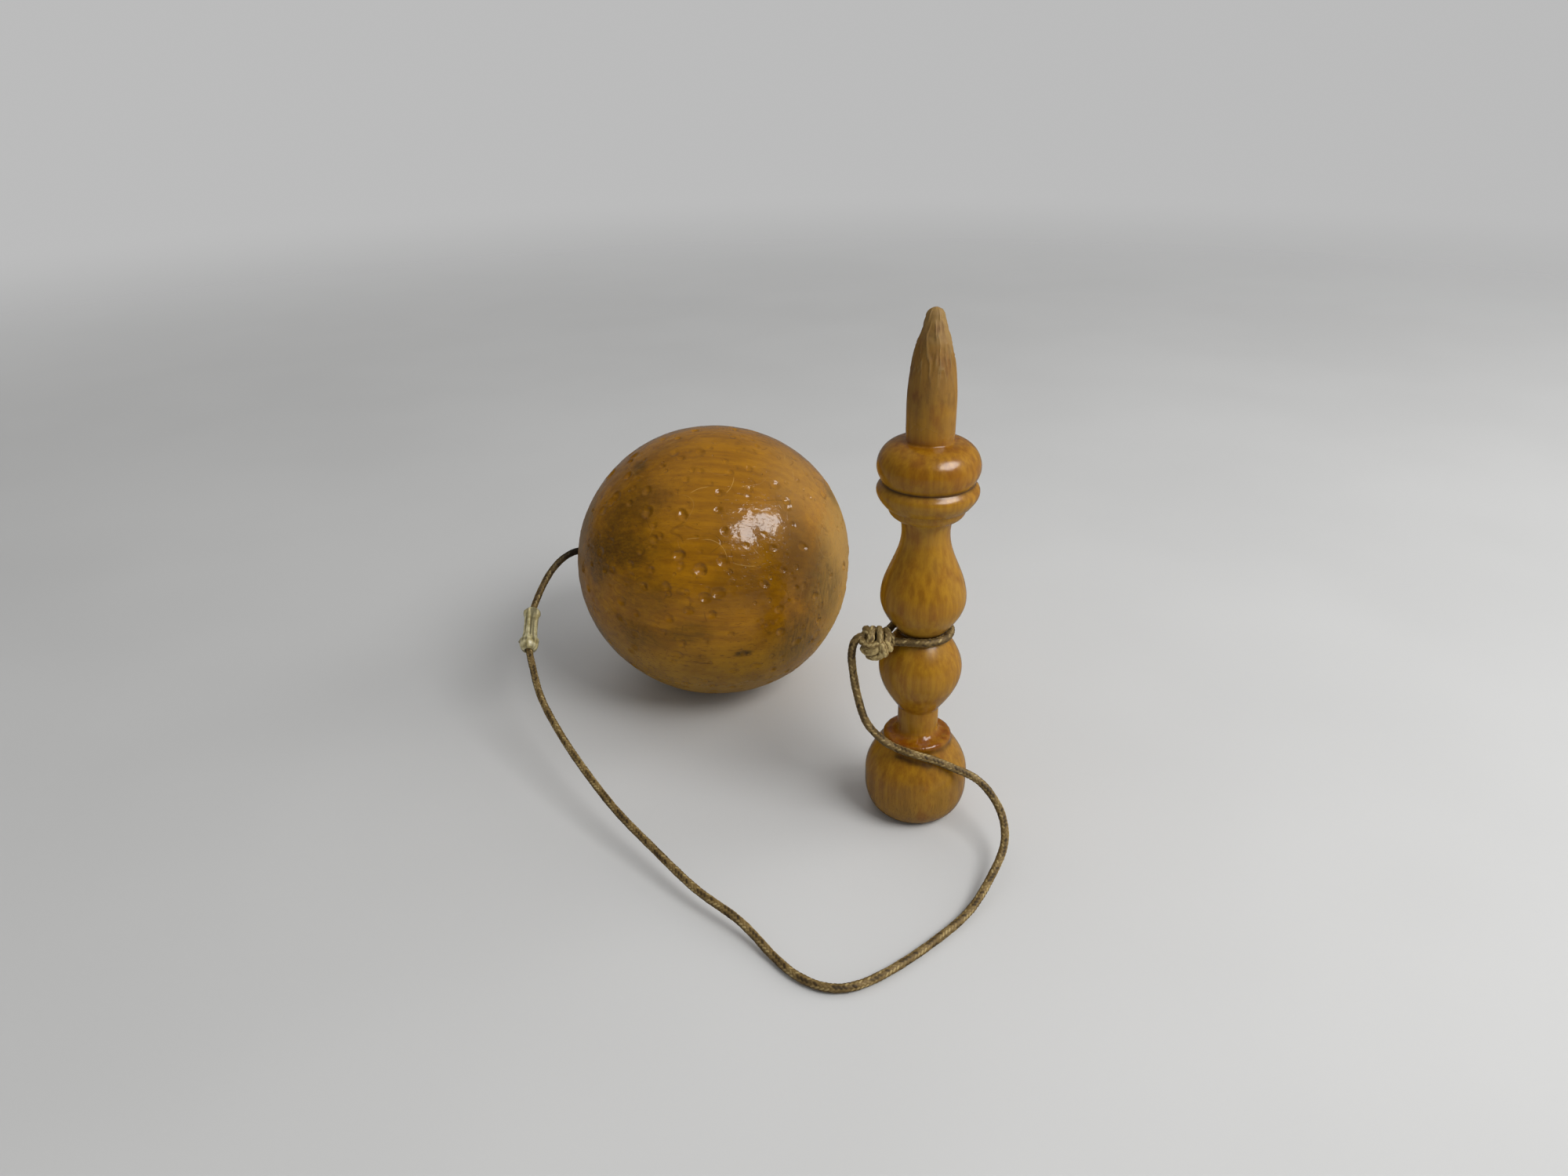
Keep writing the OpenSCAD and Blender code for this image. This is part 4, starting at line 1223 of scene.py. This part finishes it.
def handleMaterial(look):
    material, tree, shader = newMaterial("handleVarnish")
    place = addNode(tree, "TexCoord").outputs["Object"]
    high = addNode(tree, "SeparateXYZ", {"Vector": place}).outputs["Z"]
    fine = placeGrain(tree, place, *look["fineGrain"])
    broad = placeGrain(tree, place, *look["broadGrain"])
    skin = useGroup(tree, varnishSkin, Vector=place, Ripple=0.0026)
    level = calc(tree, "ADD", high, about(tree, cloud(tree, place, 130.0, 4.0), 0.5, 0.03))  # a ragged height
    spike = ease(tree, level, 0.128, 0.146)
    tip = ease(tree, level, 0.150, 0.163)
    colour = blendColour(tree, fine["Band"], tint(look["deepHoney"]), tint(look["honey"]))
    colour = paintOver(tree, colour, skin["Thin"], 0.4, look["bareWood"])
    colour = blendColour(tree, ease(tree, level, 0.026, 0.0, 0.0, 0.6), colour, tint(look["foot"]))
    colour = paintOver(tree, colour, spike, 0.65, look["wornSpike"])
    # painted reflection of the floor on the sides that face down and on the stem
    colour = paintOver(tree, colour, vertexValue(tree, "faded"), 0.5, look["bareWood"])
    flecks = calc(tree, "ADD", fine["Fleck"], calc(tree, "MULTIPLY", broad["Fleck"], 0.7))
    nearFoot = ease(tree, high, 0.026, 0.006, 0.07, 0.42)  # the flecks show most there
    colour = paintOver(tree, colour, flecks, nearFoot, look["fleck"])
    upright = vectorCalc(tree, "MULTIPLY", place, (1.0, 1.0, 0.45))
    blot = ease(tree, cloud(tree, upright, 210.0, 4.0, 0.6), 0.5, 0.72)
    colour = paintOver(tree, colour, blot, 0.5, look["blot"])
    soiled = ease(tree, cloud(tree, upright, 420.0, 6.0, 0.7), 0.42, 0.68)
    colour = paintOver(tree, colour, soiled, ease(tree, spike, 0.0, 1.0, 0.12, 0.38), look["fleck"])
    ridges = calc(tree, "MULTIPLY", vertexValue(tree, "ridge"), 0.5)
    pale = calc(tree, "MAXIMUM", ridges, calc(tree, "MULTIPLY", tip, 0.4))
    colour = blendColour(tree, pale, colour, tint(look["tip"]))
    pool = vertexValue(tree, "pool")
    thick = ease(tree, cloud(tree, place, 330.0, 3.0), 0.3, 0.62, 0.35, 0.85)
    # thick varnish, and the painted shade under the lower bulb
    colour = paintOver(tree, colour, pool, thick, look["pool"])
    # painted shade in the grooves and under the cord
    colour = paintOver(tree, colour, vertexValue(tree, "paintedShade"), 0.9, look["gap"])
    rough = calc(tree, "MULTIPLY_ADD", spike, 0.38, 0.24)
    rough = calc(tree, "SUBTRACT", rough, calc(tree, "MULTIPLY", pool, 0.14))
    gloss = calc(tree, "MULTIPLY", calc(tree, "SUBTRACT", 1.0, spike), 0.1)
    swim = calc(tree, "MULTIPLY_ADD", pool, 1.6, 0.07)  # the skin ripples most where the varnish is thick
    relief = addUp(tree, (skin["Height"], swim), (fine["Height"], 0.015))
    finishSurface(tree, shader, colour, rough, relief, 0.8, 0.0003,
                  Coat_Weight=gloss, Coat_Roughness=0.1, **varnishBase)
    return material


makeHandle(handleLook)
print("handle turned")


# Floor, room and lamps

stageLook = {
    "floor": "#d0d0cf",
    "floorReach": 4.0,  # m
    "floorLevel": -0.0002,
    "fade": (0.45, 1.5),  # m from the middle, where the floor goes over into the backdrop
    "sky": 0.5,  # what the camera sees behind the floor
    "skyLight": 0.30,  # what lights the part from all round
    "dimRoom": 0.05,  # what the varnish mirrors: the room, its bright side, its ceiling and its far wall
    "brightSide": 0.25,
    "ceiling": 0.22,
    "backdrop": 0.15,
    "floorMirrored": 0.6,  # how much darker the floor is there
    "lamps": [  # direction, distance and size in m, light on a surface that faces it, what it reaches
        ((0.549, -0.44, 0.71), 1.0, (0.62, 0.46), 0.60, "colour"),
        ((0.549, -0.44, 0.71), 0.95, (0.72, 0.40), 0.74, "shine"),
        ((0.95, 0.05, 0.36), 1.3, (1.1, 1.1), 0.42, "colour"),
        ((-0.2, 0.5, 0.85), 1.8, (1.6, 1.6), 0.12, "colour"),
    ],
    "aim": (-0.045, 0.03, 0.06),
}


def layFloor(look):
    mesh = bpy.data.meshes.new("floor")
    far = look["floorReach"]
    corners = [(x * far, y * far, look["floorLevel"]) for x, y in ((-1, -1), (1, -1), (1, 1), (-1, 1))]
    mesh.from_pydata(corners, [], [(0, 1, 2, 3)])
    material, tree, shader = newMaterial("paleFloor")
    place = addNode(tree, "TexCoord").outputs["Object"]
    soft = ease(tree, cloud(tree, place, 6.0, 2.0), 0.3, 0.7, 0.96, 1.0)
    mirrored = addNode(tree, "LightPath").outputs["Is Glossy Ray"]
    soft = calc(tree, "SUBTRACT", soft, calc(tree, "MULTIPLY", mirrored, look["floorMirrored"]))
    finishSurface(tree, shader, blendColour(tree, soft, (0, 0, 0, 1), tint(look["floor"])), 0.85)
    outward = ease(tree, vectorCalc(tree, "LENGTH", place), *look["fade"])
    clear = addNode(tree, "BsdfTransparent").outputs[0]
    joined = addNode(tree, "MixShader", {"Fac": outward})
    feed(tree, joined.inputs[1], shader.outputs[0])
    feed(tree, joined.inputs[2], clear)
    feed(tree, tree.nodes["Material Output"].inputs["Surface"], joined.outputs[0])
    mesh.materials.append(material)
    floor = bpy.data.objects.new("floor", mesh)
    bpy.context.scene.collection.objects.link(floor)


def lightRoom(look):
    world = bpy.data.worlds.new("softRoom")
    bpy.context.scene.world = world
    world.use_nodes = True
    tree = world.node_tree
    shade = tree.nodes["Background"]
    shade.inputs["Color"].default_value = (1, 1, 1, 1)
    seen = addNode(tree, "LightPath").outputs
    way = addNode(tree, "TexCoord").outputs["Generated"]
    aside = vectorCalc(tree, "DOT_PRODUCT", way, (0.93, -0.1, 0.35))
    above = addNode(tree, "SeparateXYZ", {"Vector": way}).outputs["Z"]
    behind = vectorCalc(tree, "DOT_PRODUCT", way, (0.0, 0.98, 0.2))
    shine = ease(tree, aside, 0.2, 0.95, look["dimRoom"], look["brightSide"])
    shine = calc(tree, "MAXIMUM", shine, ease(tree, above, 0.4, 0.95, 0.0, look["ceiling"]))
    shine = calc(tree, "MAXIMUM", shine, ease(tree, behind, 0.4, 0.9, 0.0, look["backdrop"]))
    light = look["skyLight"]
    level = calc(tree, "MULTIPLY_ADD", seen["Is Glossy Ray"], calc(tree, "SUBTRACT", shine, light), light)
    shown = calc(tree, "MULTIPLY_ADD", seen["Is Camera Ray"], look["sky"] - light, level)
    feed(tree, shade.inputs["Strength"], shown)


def hangLamps(look):
    aim = Vector(look["aim"])
    for n, (direction, distance, size, strength, reaches) in enumerate(look["lamps"]):
        lamp = bpy.data.lights.new("lamp%d" % n, "AREA")
        lamp.shape = "ELLIPSE"
        lamp.size, lamp.size_y = size
        lamp.energy = strength * math.pi ** 2 * distance ** 2
        holder = bpy.data.objects.new("lamp%d" % n, lamp)
        bpy.context.scene.collection.objects.link(holder)
        away = Vector(direction).normalized()
        level = Vector((0, 0, 1)).cross(away).normalized()
        holder.location = aim + away * distance
        holder.rotation_mode = "QUATERNION"
        holder.rotation_quaternion = Matrix((level, away.cross(level), away)).transposed().to_quaternion()
        holder.visible_glossy = reaches == "shine"
        holder.visible_diffuse = reaches == "colour"


layFloor(stageLook)
lightRoom(stageLook)
hangLamps(stageLook)
bpy.context.scene.view_settings.view_transform = "Standard"
print("stage lit")
